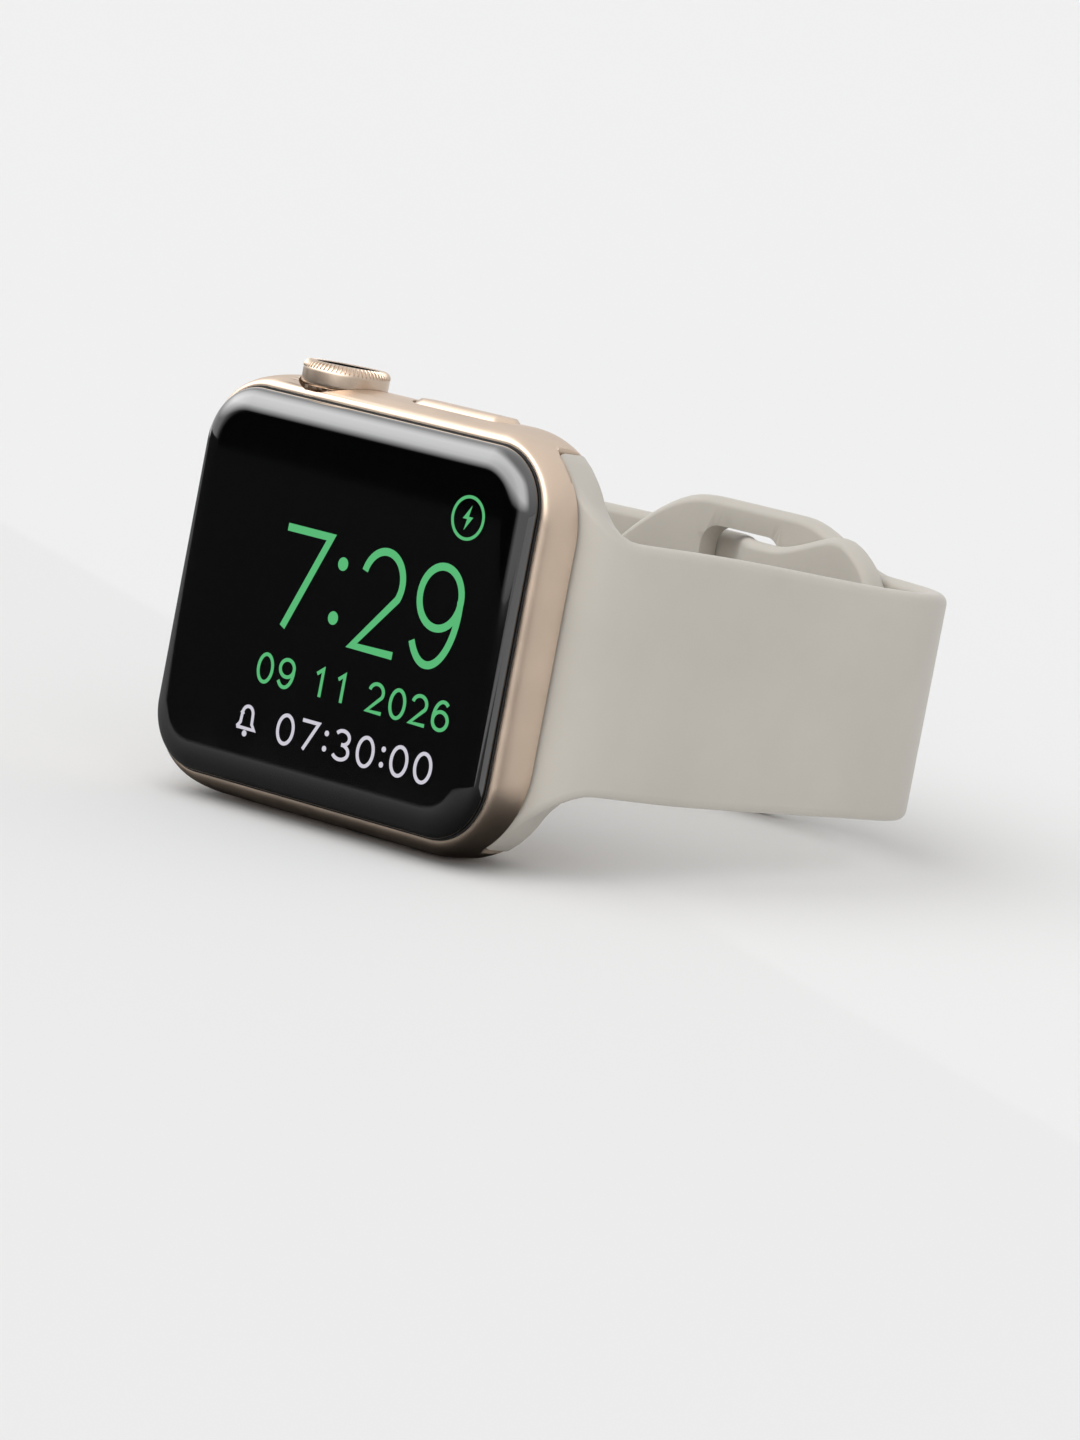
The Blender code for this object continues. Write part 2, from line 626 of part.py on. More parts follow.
gold = finish("gold_aluminium", (0.66, 0.50, 0.38), 0.32, 1.0)
glass = finish("cover_glass", (0.01, 0.01, 0.01), 0.05)
panel = finish("display", (0.005, 0.005, 0.005), 0.2)
rubber = finish("seal_rubber", (0.02, 0.02, 0.02), 0.7)
ceramic = finish("back_ceramic", (0.75, 0.74, 0.72), 0.25)
crystal = finish("sensor_crystal", (0.05, 0.05, 0.05), 0.05)
silicone = finish("band_silicone", (0.53, 0.49, 0.42), 0.55)
steel = finish("steel", (0.6, 0.6, 0.6), 0.3, 1.0)
brass = finish("brass", (0.7, 0.55, 0.25), 0.35, 1.0)
copper = finish("copper", (0.72, 0.36, 0.2), 0.35, 1.0)
shield = finish("shield_can", (0.5, 0.5, 0.52), 0.4, 1.0)
silicon = finish("sensor_chip", (0.03, 0.04, 0.06), 0.2)
lens = finish("led_lens", (0.1, 0.5, 0.2), 0.1)
board_green = finish("circuit_board", (0.02, 0.09, 0.05), 0.5)
battery_grey = finish("battery_wrap", (0.12, 0.12, 0.13), 0.6)
black_plastic = finish("black_plastic", (0.015, 0.015, 0.015), 0.35)

case_body()
display_parts()
inner_parts()
back_parts()
controls()
release_parts()
band()
rest.location = -lowest_middle()
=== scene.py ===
"""Finishes a rectangular smartwatch for rendering: a champagne case, a curved black cover glass with
its lit display, a knurled crown, a side button and a closed silicone band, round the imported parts.

The watch has its own axes, in millimetres: X along the long side of the case, Y from the glass to
the back, Z towards the crown. WATCH takes them to the frame's metres, because the watch leans back
a little where it lies.
"""

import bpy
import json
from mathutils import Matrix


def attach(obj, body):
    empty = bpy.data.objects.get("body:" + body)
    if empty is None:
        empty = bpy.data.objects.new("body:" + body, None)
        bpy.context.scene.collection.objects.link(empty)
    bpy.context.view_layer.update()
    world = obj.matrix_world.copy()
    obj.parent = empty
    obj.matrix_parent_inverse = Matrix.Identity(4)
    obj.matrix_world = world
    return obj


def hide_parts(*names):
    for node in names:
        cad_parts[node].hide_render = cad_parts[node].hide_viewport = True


bl_info = {
    "name": "Smartwatch Finish",
    "version": (1, 0, 0),
    "blender": (4, 5, 0),
    "location": "3D View > Sidebar > Smartwatch",
    "description": "Builds the visible surfaces of a smartwatch round its packed parts",
    "category": "Object",
}

import json
import math

import bmesh
import bpy
from bpy.props import FloatProperty, FloatVectorProperty, IntProperty, PointerProperty
from mathutils import Matrix, Vector

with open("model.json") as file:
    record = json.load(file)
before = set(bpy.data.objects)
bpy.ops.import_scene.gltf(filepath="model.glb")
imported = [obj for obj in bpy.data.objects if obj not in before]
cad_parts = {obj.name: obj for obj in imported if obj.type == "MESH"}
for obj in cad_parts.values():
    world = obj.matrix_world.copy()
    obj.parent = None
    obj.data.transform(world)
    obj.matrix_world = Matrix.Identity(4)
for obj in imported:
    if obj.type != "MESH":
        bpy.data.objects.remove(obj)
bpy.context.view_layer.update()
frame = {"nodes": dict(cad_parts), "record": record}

MM = 0.001
MOUNTS = {mount["name"]: mount for mount in frame["record"]["mounts"]}
FACE = MOUNTS["display_face"]
LEAN = math.atan2(FACE["axis"][2], -FACE["axis"][1])
ORIGIN = Vector(FACE["pos_m"])
TURN = Matrix.Rotation(-LEAN, 4, "X")
WATCH = Matrix.Translation(ORIGIN) @ TURN @ Matrix.Scale(MM, 4)
TO_WATCH = WATCH.inverted()


def watch_box(node):
    """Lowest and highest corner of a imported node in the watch's own axes, in millimetres."""
    points = [TO_WATCH @ vertex.co for vertex in frame["nodes"][node].data.vertices]
    return tuple(Vector([pick(p[i] for p in points) for i in range(3)]) for pick in (min, max))


CASE_LOW, CASE_HIGH = watch_box("case_body")
GLASS_LOW, GLASS_HIGH = watch_box("cover_glass")
KNOB_LOW, KNOB_HIGH = watch_box("crown_knob")
CAP_LOW, CAP_HIGH = watch_box("crown_cap")
BUTTON_LOW, BUTTON_HIGH = watch_box("side_button")
COVER_LOW, COVER_HIGH = watch_box("back_cover")
DOME_LOW, DOME_HIGH = watch_box("sensor_crystal")
RELEASE_LOW, RELEASE_HIGH = watch_box("release_button_right")

CASE_CORNER, FRONT_CORNER = 8.0, 5.1  # corner radius at the widest, and round the front rim
GLASS_CORNER = 4.8
SEAM = 0.15  # clearance between glass and case
LEDGE = 2.75  # depth of the step that carries the glass
POCKET_X, POCKET_Z = 16.2, 14.4  # half sizes of the hollow behind the display
REAR_POCKET_X = 13.8
REAR_POCKET_FRONT, REAR_WALL = 3.65, 8.6
BACK_OPENING = 12.0
CHANNEL_Y, CHANNEL_HEIGHT, CHANNEL_FLOOR = 6.5, 3.9, 15.2
BUTTON_ROOM = (10.8, 3.3, 15.5)  # length, width and floor of the side button's pocket
CROWN_RECESS = 15.65  # height of the floor of the round recess that the crown stands in
RELEASE_X = 13.8
RELEASE_ROOM = (6.8, 1.9)
PORTS = ((3.0, 4.6, 1.3), (9.6, 4.6, 1.3), (-7.0, 1.8, 1.3))  # place along X, length and width
POSTS = tuple((x, z) for x in (-12.6, 12.6) for z in (-12.9, 12.9))
CONTROL_Y = (KNOB_LOW.y + KNOB_HIGH.y) / 2
CROWN_X = (KNOB_LOW.x + KNOB_HIGH.x) / 2
BUTTON_X = (BUTTON_LOW.x + BUTTON_HIGH.x) / 2
CROWN_RADIUS = (KNOB_HIGH.x - KNOB_LOW.x) / 2
PORT_Y = CONTROL_Y + 0.6
OVERLAP = 0.5  # how far one cutter reaches into the next
GRILLE_Z = 0.9 - CASE_HIGH.z  # the height of the perforated plates in the ports


# ---- Sizes and colours a user would change ----

def length(name, description, default, low=0.0, high=50.0):
    return FloatProperty(
        name=name, description=f"{description}, in millimetres", default=default, min=low, max=high
    )


def colour(name, description, default):
    return FloatVectorProperty(
        name=name, description=description, default=default, size=3, subtype="COLOR", min=0, max=1
    )


class CaseSettings(bpy.types.PropertyGroup):
    front_round: length("Front round", "How deep the case's rounded front edge runs", 3.6)
    back_round: length("Back round", "How deep the case's rounded back edge runs", 4.2)
    front_inset: length("Front inset", "How far the front edge draws in", 1.3)
    back_inset: length("Back inset", "How far the back edge draws in", 3.6)
    corner_steps: IntProperty(
        name="Corner steps", description="Segments round each corner", default=26, min=4
    )
    metal: colour("Metal", "Anodised aluminium", (0.60, 0.478, 0.378))
    metal_roughness: FloatProperty(
        name="Metal roughness", description="Satin of the blasted metal", default=0.36, min=0, max=1,
        subtype="FACTOR",
    )


class GlassSettings(bpy.types.PropertyGroup):
    edge_round: length("Edge round", "How far in the curve of the glass's edge reaches", 2.2)
    digits: colour("Digits", "Large digits and the date", (0.10, 0.47, 0.18))
    minor: colour("Minor row", "Alarm row", (0.60, 0.58, 0.65))
    glow: FloatProperty(name="Glow", description="Strength of the lit digits", default=1.0, min=0, max=10)


class CrownSettings(bpy.types.PropertyGroup):
    teeth: IntProperty(name="Teeth", description="Knurls round the crown", default=60, min=12, max=200)
    tooth_height: length("Tooth height", "How far a knurl stands out", 0.13)


class BandSettings(bpy.types.PropertyGroup):
    thickness: length("Thickness", "Thickness of the strap", 2.0)
    spacing: length("Spacing", "Distance between cross-sections along the strap", 0.8, 0.2)
    silicone: colour("Silicone", "Stone-coloured silicone", (0.545, 0.513, 0.460))


# ---- Shader maths ----

def socket_of(value):
    return value.socket if isinstance(value, Signal) else value


class Signal:
    """A node's output that can be used in arithmetic."""

    def __init__(self, maker, socket):
        self.maker, self.socket = maker, socket

    def math(self, operation, *values, **settings):
        settings["operation"] = operation
        return self.maker.node("ShaderNodeMath", settings, dict(enumerate(values)))

    def __add__(self, other):
        return self.math("ADD", self, other)

    def __sub__(self, other):
        return self.math("SUBTRACT", self, other)

    def __rsub__(self, other):
        return self.math("SUBTRACT", other, self)

    def __mul__(self, other):
        return self.math("MULTIPLY", self, other)

    __radd__, __rmul__ = __add__, __mul__

    def between(self, low, high, to_low=0.0, to_high=1.0):
        """This value stretched from low..high to to_low..to_high, held at the ends."""
        return self.maker.node(
            "ShaderNodeMapRange", {"clamp": True},
            {"Value": self, "From Min": low, "From Max": high, "To Min": to_low, "To Max": to_high},
        )


class Maker:
    """Adds nodes to one material's tree."""

    def __init__(self, tree):
        self.tree = tree

    def node(self, kind, settings=None, inputs=None, output=0):
        made = self.tree.nodes.new(kind)
        for name, value in (settings or {}).items():
            if name == "stops":
                ramp = made.color_ramp
                while len(ramp.elements) < len(value):
                    ramp.elements.new(0.5)
                for element, (position, shade) in zip(ramp.elements, value):
                    element.position, element.color = position, (*shade, 1)
            else:
                setattr(made, name, value)
        for name, value in (inputs or {}).items():
            if isinstance(value, Signal):
                self.tree.links.new(value.socket, made.inputs[name])
            elif value is not None:
                made.inputs[name].default_value = value
        return Signal(self, made.outputs[output]) if made.outputs else None

    def watch_coordinates(self):
        """Millimetres in the watch's own axes, so a pattern lies square on the leaning watch."""
        moved = TURN.inverted() @ ORIGIN
        return self.node("ShaderNodeMapping", {"vector_type": "POINT"}, {
            "Vector": self.node("ShaderNodeTexCoord", output="Object"),
            "Scale": (1 / MM, 1 / MM, 1 / MM),
            "Rotation": (LEAN, 0, 0),
            "Location": tuple(-moved / MM),
        })

    def noise(self, place, scale, detail=2.0, roughness=0.5):
        return self.node("ShaderNodeTexNoise", None, {
            "Vector": place, "Scale": scale, "Detail": detail, "Roughness": roughness,
        })

    def tint(self, factor, first, second):
        """A colour between first and second."""
        return self.node("ShaderNodeMix", {"data_type": "RGBA"}, {
            "Factor": factor, 6: (*first, 1), 7: (*second, 1),
        }, output=2)

    def bump(self, height, strength, distance):
        return self.node("ShaderNodeBump", None, {
            "Height": height, "Strength": strength, "Distance": distance * MM,
        })


def shaded(colour_value, by):
    """A colour made lighter or darker by a factor."""
    return tuple(min(channel * by, 1.0) for channel in colour_value)


def new_material(name, constants, varied):
    """A Principled material: constants are set on its sockets, and varied(maker) gives what changes."""
    material = bpy.data.materials.new(name)
    material.use_nodes = True
    tree = material.node_tree
    shader = tree.nodes["Principled BSDF"]
    for socket, value in constants.items():
        shader.inputs[socket].default_value = value
    for socket, signal in varied(Maker(tree)).items():
        tree.links.new(socket_of(signal), shader.inputs[socket])
    return material


# ---- Finishes ----

def blasted_metal(name, base, roughness, grain=1.0):
    """Bead-blasted anodised metal: very fine grain with faint clouding."""
    def varied(maker):
        place = maker.watch_coordinates()
        cloud = maker.noise(place, 0.22, 3.0)
        fine = maker.noise(place, 11.0, 2.0)
        return {
            "Base Color": maker.tint(cloud.between(0.35, 0.65), shaded(base, 0.955), shaded(base, 1.03)),
            "Roughness": cloud.between(0.3, 0.7, roughness - 0.03, roughness + 0.04)
            + (fine - 0.5) * 0.06,
            "Normal": maker.bump(fine, 0.10 * grain, 0.03),
        }
    return new_material(name, {"Metallic": 1.0}, varied)


def turned_metal(name, base, roughness, along="Z"):
    """Fine lathe lines round a turned or brushed metal piece."""
    def varied(maker):
        place = maker.watch_coordinates()
        stretched = {"X": (14, 0.3, 0.3), "Y": (0.3, 14, 0.3), "Z": (0.3, 0.3, 14)}[along]
        drawn = maker.node("ShaderNodeMapping", None, {"Vector": place, "Scale": stretched})
        lines = maker.noise(drawn, 1.0, 3.0)
        return {
            "Base Color": maker.tint(lines, shaded(base, 0.9), base),
            "Roughness": lines.between(0.3, 0.7, roughness - 0.06, roughness + 0.08),
            "Normal": maker.bump(lines, 0.12, 0.02),
        }
    return new_material(name, {"Metallic": 1.0}, varied)


def moulded(name, base, roughness, grain=0.25, scale=6.0, **constants):
    """Moulded plastic or rubber with a fine matt grain."""
    def varied(maker):
        place = maker.watch_coordinates()
        grain_signal = maker.noise(place, scale, 3.0)
        cloud = maker.noise(place, 0.3, 2.0)
        return {
            "Base Color": maker.tint(cloud, shaded(base, 0.93), shaded(base, 1.05)),
            "Roughness": grain_signal.between(0.3, 0.7, roughness - 0.05, roughness + 0.05),
            "Normal": maker.bump(grain_signal, grain, 0.03),
        }
    return new_material(name, constants, varied)


def silicone_finish(base):
    """Smooth satin silicone: faint clouding, a soft fine skin and slightly shinier high spots."""
    def varied(maker):
        place = maker.watch_coordinates()
        cloud = maker.noise(place, 0.11, 3.0)
        skin = maker.noise(place, 5.5, 3.0, 0.6)
        speck = maker.noise(place, 17.0, 1.0)
        tone = maker.tint(cloud.between(0.3, 0.7), shaded(base, 0.965), shaded(base, 1.03))
        return {
            "Base Color": tone,
            "Roughness": skin.between(0.3, 0.7, 0.44, 0.56),
            "Normal": maker.bump(skin * 0.7 + speck * 0.3, 0.10, 0.03),
        }
    return new_material("silicone", {
        "Sheen Weight": 0.12, "Sheen Roughness": 0.4, "Subsurface Weight": 0.06,
        "Subsurface Radius": (0.9 * MM, 0.7 * MM, 0.5 * MM), "Subsurface Scale": 1.0, "IOR": 1.42,
    }, varied)


def polished_glass(name, base, roughness=0.04, **constants):
    """Polished dark glass with the faintest variation in its polish."""
    def varied(maker):
        place = maker.watch_coordinates()
        smear = maker.noise(place, 0.16, 3.0)
        return {
            "Base Color": maker.tint(smear, base, shaded(base, 1.4)),
            "Roughness": smear.between(0.35, 0.75, roughness, roughness + 0.03),
        }
    return new_material(name, {"IOR": 1.5, "Coat Roughness": 0.02, **constants}, varied)


def lit(name, base, glow):
    """A lit display element: its own light, crossed by the display's fine dark rows."""
    def varied(maker):
        place = maker.watch_coordinates()
        rows = maker.node("ShaderNodeTexWave", {"wave_type": "BANDS", "bands_direction": "Z"}, {
            "Vector": place, "Scale": 2.4, "Distortion": 0.0,
        }, output=1)
        tone = maker.tint(rows, shaded(base, 0.94), shaded(base, 1.04))
        return {"Emission Color": tone, "Roughness": rows.between(0, 1, 0.5, 0.6)}
    return new_material(name, {
        "Base Color": (*shaded(base, 0.04), 1), "Emission Strength": glow, "Specular IOR Level": 0.0,
    }, varied)


def circuit(name, base):
    """Solder-masked board with faint traces."""
    def varied(maker):
        place = maker.watch_coordinates()
        bricks = maker.node("ShaderNodeTexBrick", None, {
            "Vector": place, "Scale": 1.3, "Mortar Size": 0.03,
            "Color1": (1, 1, 1, 1), "Color2": (1, 1, 1, 1), "Mortar": (0, 0, 0, 1),
        }, output=1)
        return {
            "Base Color": maker.tint(bricks, shaded(base, 1.0), (0.35, 0.30, 0.12)),
            "Roughness": maker.noise(place, 3.0).between(0.3, 0.7, 0.35, 0.5),
        }
    return new_material(name, {"Coat Weight": 0.3}, varied)


# ---- Meshes ----

def smooth(t):
    """An S-curve from 0 to 1."""
    t = min(max(t, 0.0), 1.0)
    return t * t * (3 - 2 * t)


def rounded(half_x, half_z, radius, y, steps):
    """A rounded rectangle in the plane of the display at depth y."""
    points = []
    for corner, (sx, sz) in enumerate(((1, 1), (-1, 1), (-1, -1), (1, -1))):
        for step in range(steps + 1):
            angle = math.pi / 2 * (corner + step / steps)
            points.append((
                sx * (half_x - radius) + radius * math.cos(angle), y,
                sz * (half_z - radius) + radius * math.sin(angle),
            ))
    return points


def add_loft(bm, rings, ends=True):
    """Walls between rings of equally many points, capped, or joined last to first."""
    loops = [[bm.verts.new(point) for point in ring] for ring in rings]
    pairs = list(zip(loops, loops[1:]))
    if ends:
        bm.faces.new(loops[0])
        bm.faces.new(loops[-1])
    else:
        pairs.append((loops[-1], loops[0]))
    count = len(loops[0])
    for low, high in pairs:
        for i in range(count):
            j = (i + 1) % count
            bm.faces.new((low[i], low[j], high[j], high[i]))


def on_axis(axis, centre, radius, height, angle):
    """The point at radius and angle round an axis through centre, at height along it."""
    across, up = radius * math.cos(angle), radius * math.sin(angle)
    spot = {"X": (height, across, up), "Y": (up, height, across), "Z": (across, up, height)}[axis]
    return Vector(centre) + Vector(spot)


def add_turned(bm, profile, centre, axis="Z", segments=96):
    """A closed profile of (radius, height) points turned round the axis; radius 0 is on it."""
    rings = []
    for radius, height in profile:
        around = 1 if radius == 0 else segments
        rings.append([
            bm.verts.new(on_axis(axis, centre, radius, height, 2 * math.pi * k / segments))
            for k in range(around)
        ])
    for low, high in zip(rings, rings[1:] + rings[:1]):
        if len(low) == len(high) == 1:
            continue
        for k in range(segments):
            n = (k + 1) % segments
            corners = [low[k % len(low)], low[n % len(low)], high[n % len(high)], high[k % len(high)]]
            bm.faces.new(list(dict.fromkeys(corners)))


def pill_ring(centre, length_mm, width, height, axis, steps=20):
    """A stadium outline: along X at height Z, or along Z at depth Y."""
    radius = width / 2
    points = []
    for end in (1, -1):
        for step in range(steps + 1):
            angle = math.pi * step / steps - math.pi / 2 + (0 if end == 1 else math.pi)
            run = end * (length_mm - width) / 2 + radius * math.cos(angle)
            across = radius * math.sin(angle)
            spot = (run, across, height) if axis == "Z" else (across, height, run)
            points.append(Vector(centre) + Vector(spot))
    return points


def quarter(steps):
    """Angles evenly from 0 to a quarter turn."""
    return [math.pi / 2 * k / steps for k in range(steps + 1)]


def arc(centre, radius, start, end, steps):
    """Points (a, b) on an arc, in degrees anticlockwise."""
    return [(
        centre[0] + radius * math.cos(math.radians(start + (end - start) * k / steps)),
        centre[1] + radius * math.sin(math.radians(start + (end - start) * k / steps)),
    ) for k in range(steps + 1)]


def finished(name, bm, material=None, sharp=35.0):
    """Turns a mesh in the watch's millimetres into an object in the frame's metres."""
    bmesh.ops.remove_doubles(bm, verts=bm.verts, dist=1e-4)
    bmesh.ops.recalc_face_normals(bm, faces=bm.faces)
    bm.transform(WATCH)
    mesh = bpy.data.meshes.new(name)
    bm.to_mesh(mesh)
    bm.free()
    obj = bpy.data.objects.new(name, mesh)
    bpy.context.scene.collection.objects.link(obj)
    mesh.shade_smooth()
    mesh.set_sharp_from_angle(angle=math.radians(sharp))
    if material:
        mesh.materials.append(material)
    return obj


def applied(obj, sharp=None):
    """The object with its modifiers made part of its mesh."""
    graph = bpy.context.evaluated_depsgraph_get()
    mesh = bpy.data.meshes.new_from_object(obj.evaluated_get(graph))
    obj.modifiers.clear()
    obj.data = mesh
    if sharp is not None:
        mesh.shade_smooth()
        mesh.set_sharp_from_angle(angle=math.radians(sharp))
    return obj


def cut_from(obj, tools, operation="DIFFERENCE"):
    """Cuts or adds meshes, given in the watch's millimetres, and removes the tools."""
    made = [finished(f"tool_{number}", tool) for number, tool in enumerate(tools)]
    for tool in made:
        modifier = obj.modifiers.new(tool.name, "BOOLEAN")
        modifier.operation = operation
        modifier.object = tool
    bpy.context.view_layer.update()
    applied(obj)
    for tool in made:
        bpy.data.objects.remove(tool)
    return obj


def bevelled(obj, width, segments=2, angle=40.0):
    """Rounds the hard edges that cutting leaves."""
    modifier = obj.modifiers.new("edges", "BEVEL")
    modifier.width = width * MM
    modifier.segments = segments
    modifier.limit_method = "ANGLE"
    modifier.angle_limit = math.radians(angle)
    modifier.harden_normals = True
    return applied(obj)


def settled(obj):
    """Keeps the normals of smooth shading true on the large flats."""
    modifier = obj.modifiers.new("normals", "WEIGHTED_NORMAL")
    modifier.keep_sharp = True
    return applied(obj)


def dress(obj, material, sharp):
    """One finish and smooth shading for a mesh that cutting has left with empty slots."""
    obj.data.materials.clear()
    obj.data.materials.append(material)
    obj.data.shade_smooth()
    obj.data.set_sharp_from_angle(angle=math.radians(sharp))


def keep(obj, body, slot, *nodes):
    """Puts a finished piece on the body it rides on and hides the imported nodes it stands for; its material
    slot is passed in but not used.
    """
    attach(obj, body)
    if nodes:
        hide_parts(*nodes)
    return obj


def mesh_in(build, *arguments, **options):
    bm = bmesh.new()
    build(bm, *arguments, **options)
    return bm


# ---- Case and glass ----

def case_section(y, settings):
    """How far the case's side draws in at depth y: an elliptical barrel at the front and the back."""
    front = max(CASE_LOW.y + settings.front_round - y, 0) / settings.front_round
    back = max(y - CASE_HIGH.y + settings.back_round, 0) / settings.back_round
    return (settings.front_inset * (1 - math.sqrt(max(1 - front ** 2, 0)))
            + settings.back_inset * (1 - math.sqrt(max(1 - back ** 2, 0))))


def case_rings(settings):
    """Outlines of the case from front to back, closest where its edges turn."""
    turns = quarter(18)
    front = [CASE_LOW.y + settings.front_round * (1 - math.cos(turn)) for turn in turns]
    back = [CASE_HIGH.y - settings.back_round * (1 - math.sin(turn)) for turn in turns]
    rings = []
    for y in front + back:
        by = case_section(y, settings)
        rim = max(CASE_LOW.y + settings.front_round - y, 0) / settings.front_round
        corner = CASE_CORNER - by - (CASE_CORNER - settings.front_inset - FRONT_CORNER) * rim ** 2
        rings.append(rounded(CASE_HIGH.x - by, CASE_HIGH.z - by, corner, y, settings.corner_steps))
    return rings


def pill_bar(centre, long, wide, low, high, axis):
    return mesh_in(add_loft, [pill_ring(centre, long, wide, at, axis) for at in (low, high)])


def channel_bar(side):
    """The lug channel's cutter: a bar along Z with the round floor corners of a ball-nosed mill."""
    radius = 0.9
    half = CHANNEL_HEIGHT / 2
    outline = [(CASE_HIGH.x + 1, -half), (CASE_HIGH.x + 1, half)]
    outline += arc((CHANNEL_FLOOR + radius, half - radius), radius, 90, 180, 8)
    outline += arc((CHANNEL_FLOOR + radius, radius - half), radius, 180, 270, 8)
    end = CASE_HIGH.z + 2
    return mesh_in(add_loft, [[(side * x, CHANNEL_Y + y, z) for x, y in outline] for z in (-end, end)])


def pocket(half_x, radius, low, high):
    return mesh_in(add_loft, [rounded(half_x, POCKET_Z, radius, y, 8) for y in (low, high)])


def case_cutters():
    """Everything that is taken out of the case."""
    top, back = CASE_HIGH.z, CASE_HIGH.y + 1
    long, wide, floor = BUTTON_ROOM
    crown, button = (CROWN_X, CONTROL_Y, 0), (BUTTON_X, CONTROL_Y, 0)
    cutters = [
        mesh_in(add_loft, [
            rounded(GLASS_HIGH.x + SEAM, GLASS_HIGH.z + SEAM, GLASS_CORNER + SEAM, y, 24)
            for y in (CASE_LOW.y - 1, LEDGE)
        ]),
        pocket(POCKET_X, 5.0, LEDGE - OVERLAP, REAR_POCKET_FRONT),
        pocket(REAR_POCKET_X, 3.0, REAR_POCKET_FRONT - OVERLAP, REAR_WALL),
        mesh_in(add_turned, rod(BACK_OPENING, REAR_WALL - OVERLAP, back), (0, 0, 0), "Y", 128),
        mesh_in(add_turned, rod(1.8, POCKET_Z - 1, top + 1), crown, "Z", 64),
        mesh_in(add_turned, rod(CROWN_RADIUS + 0.15, CROWN_RECESS, top + 1), crown, "Z", 96),
        pill_bar(button, long, wide, floor, top + 1, "Z"),
        mesh_in(add_turned, rod(1.0, POCKET_Z - 1, floor + 0.3), button, "Z", 32),
    ]
    for side in (1, -1):
        cutters.append(channel_bar(side))
        cutters.append(pill_bar((side * RELEASE_X, 0, 0), *RELEASE_ROOM, REAR_WALL - 0.6, back, "Y"))
    for x, port_long, port_wide in PORTS:
        cutters.append(pill_bar((x, PORT_Y, 0), port_long, port_wide, -top - 1, 1 - POCKET_Z, "Z"))
    return cutters


def screw_posts():
    """Four posts with blind holes, standing forwards from the back wall."""
    bore, outer = 0.6, 1.1
    front, bottom, root = 4.3, 7.2, 9.0
    bm = bmesh.new()
    for x, z in POSTS:
        add_turned(bm, [
            (bore, front), (outer, front), (outer, root), (0, root), (0, bottom), (bore, bottom),
        ], (x, 0, z), "Y", 24)
    return bm


class WATCH_OT_case(bpy.types.Operator):
    """Builds the case with its pockets, lug channels, ports and screw posts"""

    bl_idname = "watch.case"
    bl_label = "Case"

    def execute(self, context):
        settings = context.scene.watch_case
        case = finished("case_shell", mesh_in(add_loft, case_rings(settings)))
        cut_from(case, case_cutters())
        cut_from(case, [screw_posts()], "UNION")
        bevelled(case, 0.09)
        dress(case, finishes["gold"], 30)
        settled(case)
        keep(case, "case", "gold_aluminium", "case_body")
        grilles(finishes["mesh"])
        return {"FINISHED"}


def glass_rings(settings):
    """The cover glass from its flat front, round its curved edge, to its back."""
    depth = 1.3
    flat = settings.edge_round + 0.3
    rings = [rounded(GLASS_HIGH.x - flat, GLASS_HIGH.z - flat, GLASS_CORNER - flat, GLASS_LOW.y, 28)]
    for turn in quarter(22):
        rise = 1 - math.cos(turn)
        by = settings.edge_round * (1 - math.sqrt(1 - (1 - rise) ** 2))
        corner = GLASS_CORNER - by
        rings.append(rounded(GLASS_HIGH.x - by, GLASS_HIGH.z - by, corner, GLASS_LOW.y + depth * rise, 28))
    rings.append(rounded(GLASS_HIGH.x, GLASS_HIGH.z, GLASS_CORNER, GLASS_HIGH.y, 28))
    return rings


class WATCH_OT_glass(bpy.types.Operator):
    """Builds the curved cover glass, a black ring in the gap round it that is partly seal and partly painted
    shade, and the lit display
    """

    bl_idname = "watch.glass"
    bl_label = "Glass and display"

    def execute(self, context):
        settings = context.scene.watch_glass
        rings = glass_rings(settings)
        glass = finished("front_glass", mesh_in(add_loft, rings), finishes["black_glass"], 30)
        settled(glass)
        keep(glass, "case", "cover_glass", "cover_glass")
        # A black rubber ring lines the narrow gap between glass and case: partly the seal, partly painted
        # shade that keeps the gap black.
        wall = 0.01
        seam = finished("glass_seam", mesh_in(add_loft, [
            rounded(GLASS_HIGH.x + out, GLASS_HIGH.z + out, GLASS_CORNER + out, y, 28)
            for out, y in ((wall, 1.5), (SEAM - wall, 1.5), (SEAM - wall, 2.7), (wall, 2.7))
        ], ends=False), finishes["rubber"], 40)
        keep(seam, "case", "seal_rubber")
        for name, row, finish, shade in (
            ("display_digits", lit_digits(), "lit_green", settings.digits),
            ("display_minor", lit_minor(), "lit_grey", settings.minor),
        ):
            keep(finished(name, row, lit(finish, shade, settings.glow), 40), "case", "display")
        return {"FINISHED"}


# ---- Lit display: single-stroke numbers in a unit cell, Z up ----

def oval(centre, rx, rz, start, end, steps=24):
    return [(
        centre[0] + rx * math.cos(math.radians(start + (end - start) * k / steps)),
        centre[1] + rz * math.sin(math.radians(start + (end - start) * k / steps)),
    ) for k in range(steps + 1)]


GLYPHS = {
    "0": [oval((0.5, 0.5), 0.47, 0.5, 90, 450, 44)],
    "1": [[(0.2, 0.8), (0.58, 1.0), (0.58, 0.0)]],
    "2": [oval((0.48, 0.70), 0.46, 0.30, 168, -28) + [(0.03, 0.0), (1.0, 0.0)]],
    "3": [oval((0.47, 0.755), 0.42, 0.245, 150, -90), oval((0.47, 0.26), 0.48, 0.26, 90, -150)],
    "6": [oval((0.5, 0.32), 0.48, 0.32, 0, 360, 40), oval((0.56, 0.40), 0.54, 0.60, 188, 55)],
    "7": [[(0.0, 1.0), (1.0, 1.0), (0.27, 0.0)]],
    "9": [oval((0.5, 0.69), 0.47, 0.31, 0, 360, 40), oval((0.44, 0.58), 0.53, 0.58, 12, -140)],
}
STROKE_DEPTH = 0.03  # how thick a lit stroke is, and how far it stands on the glass


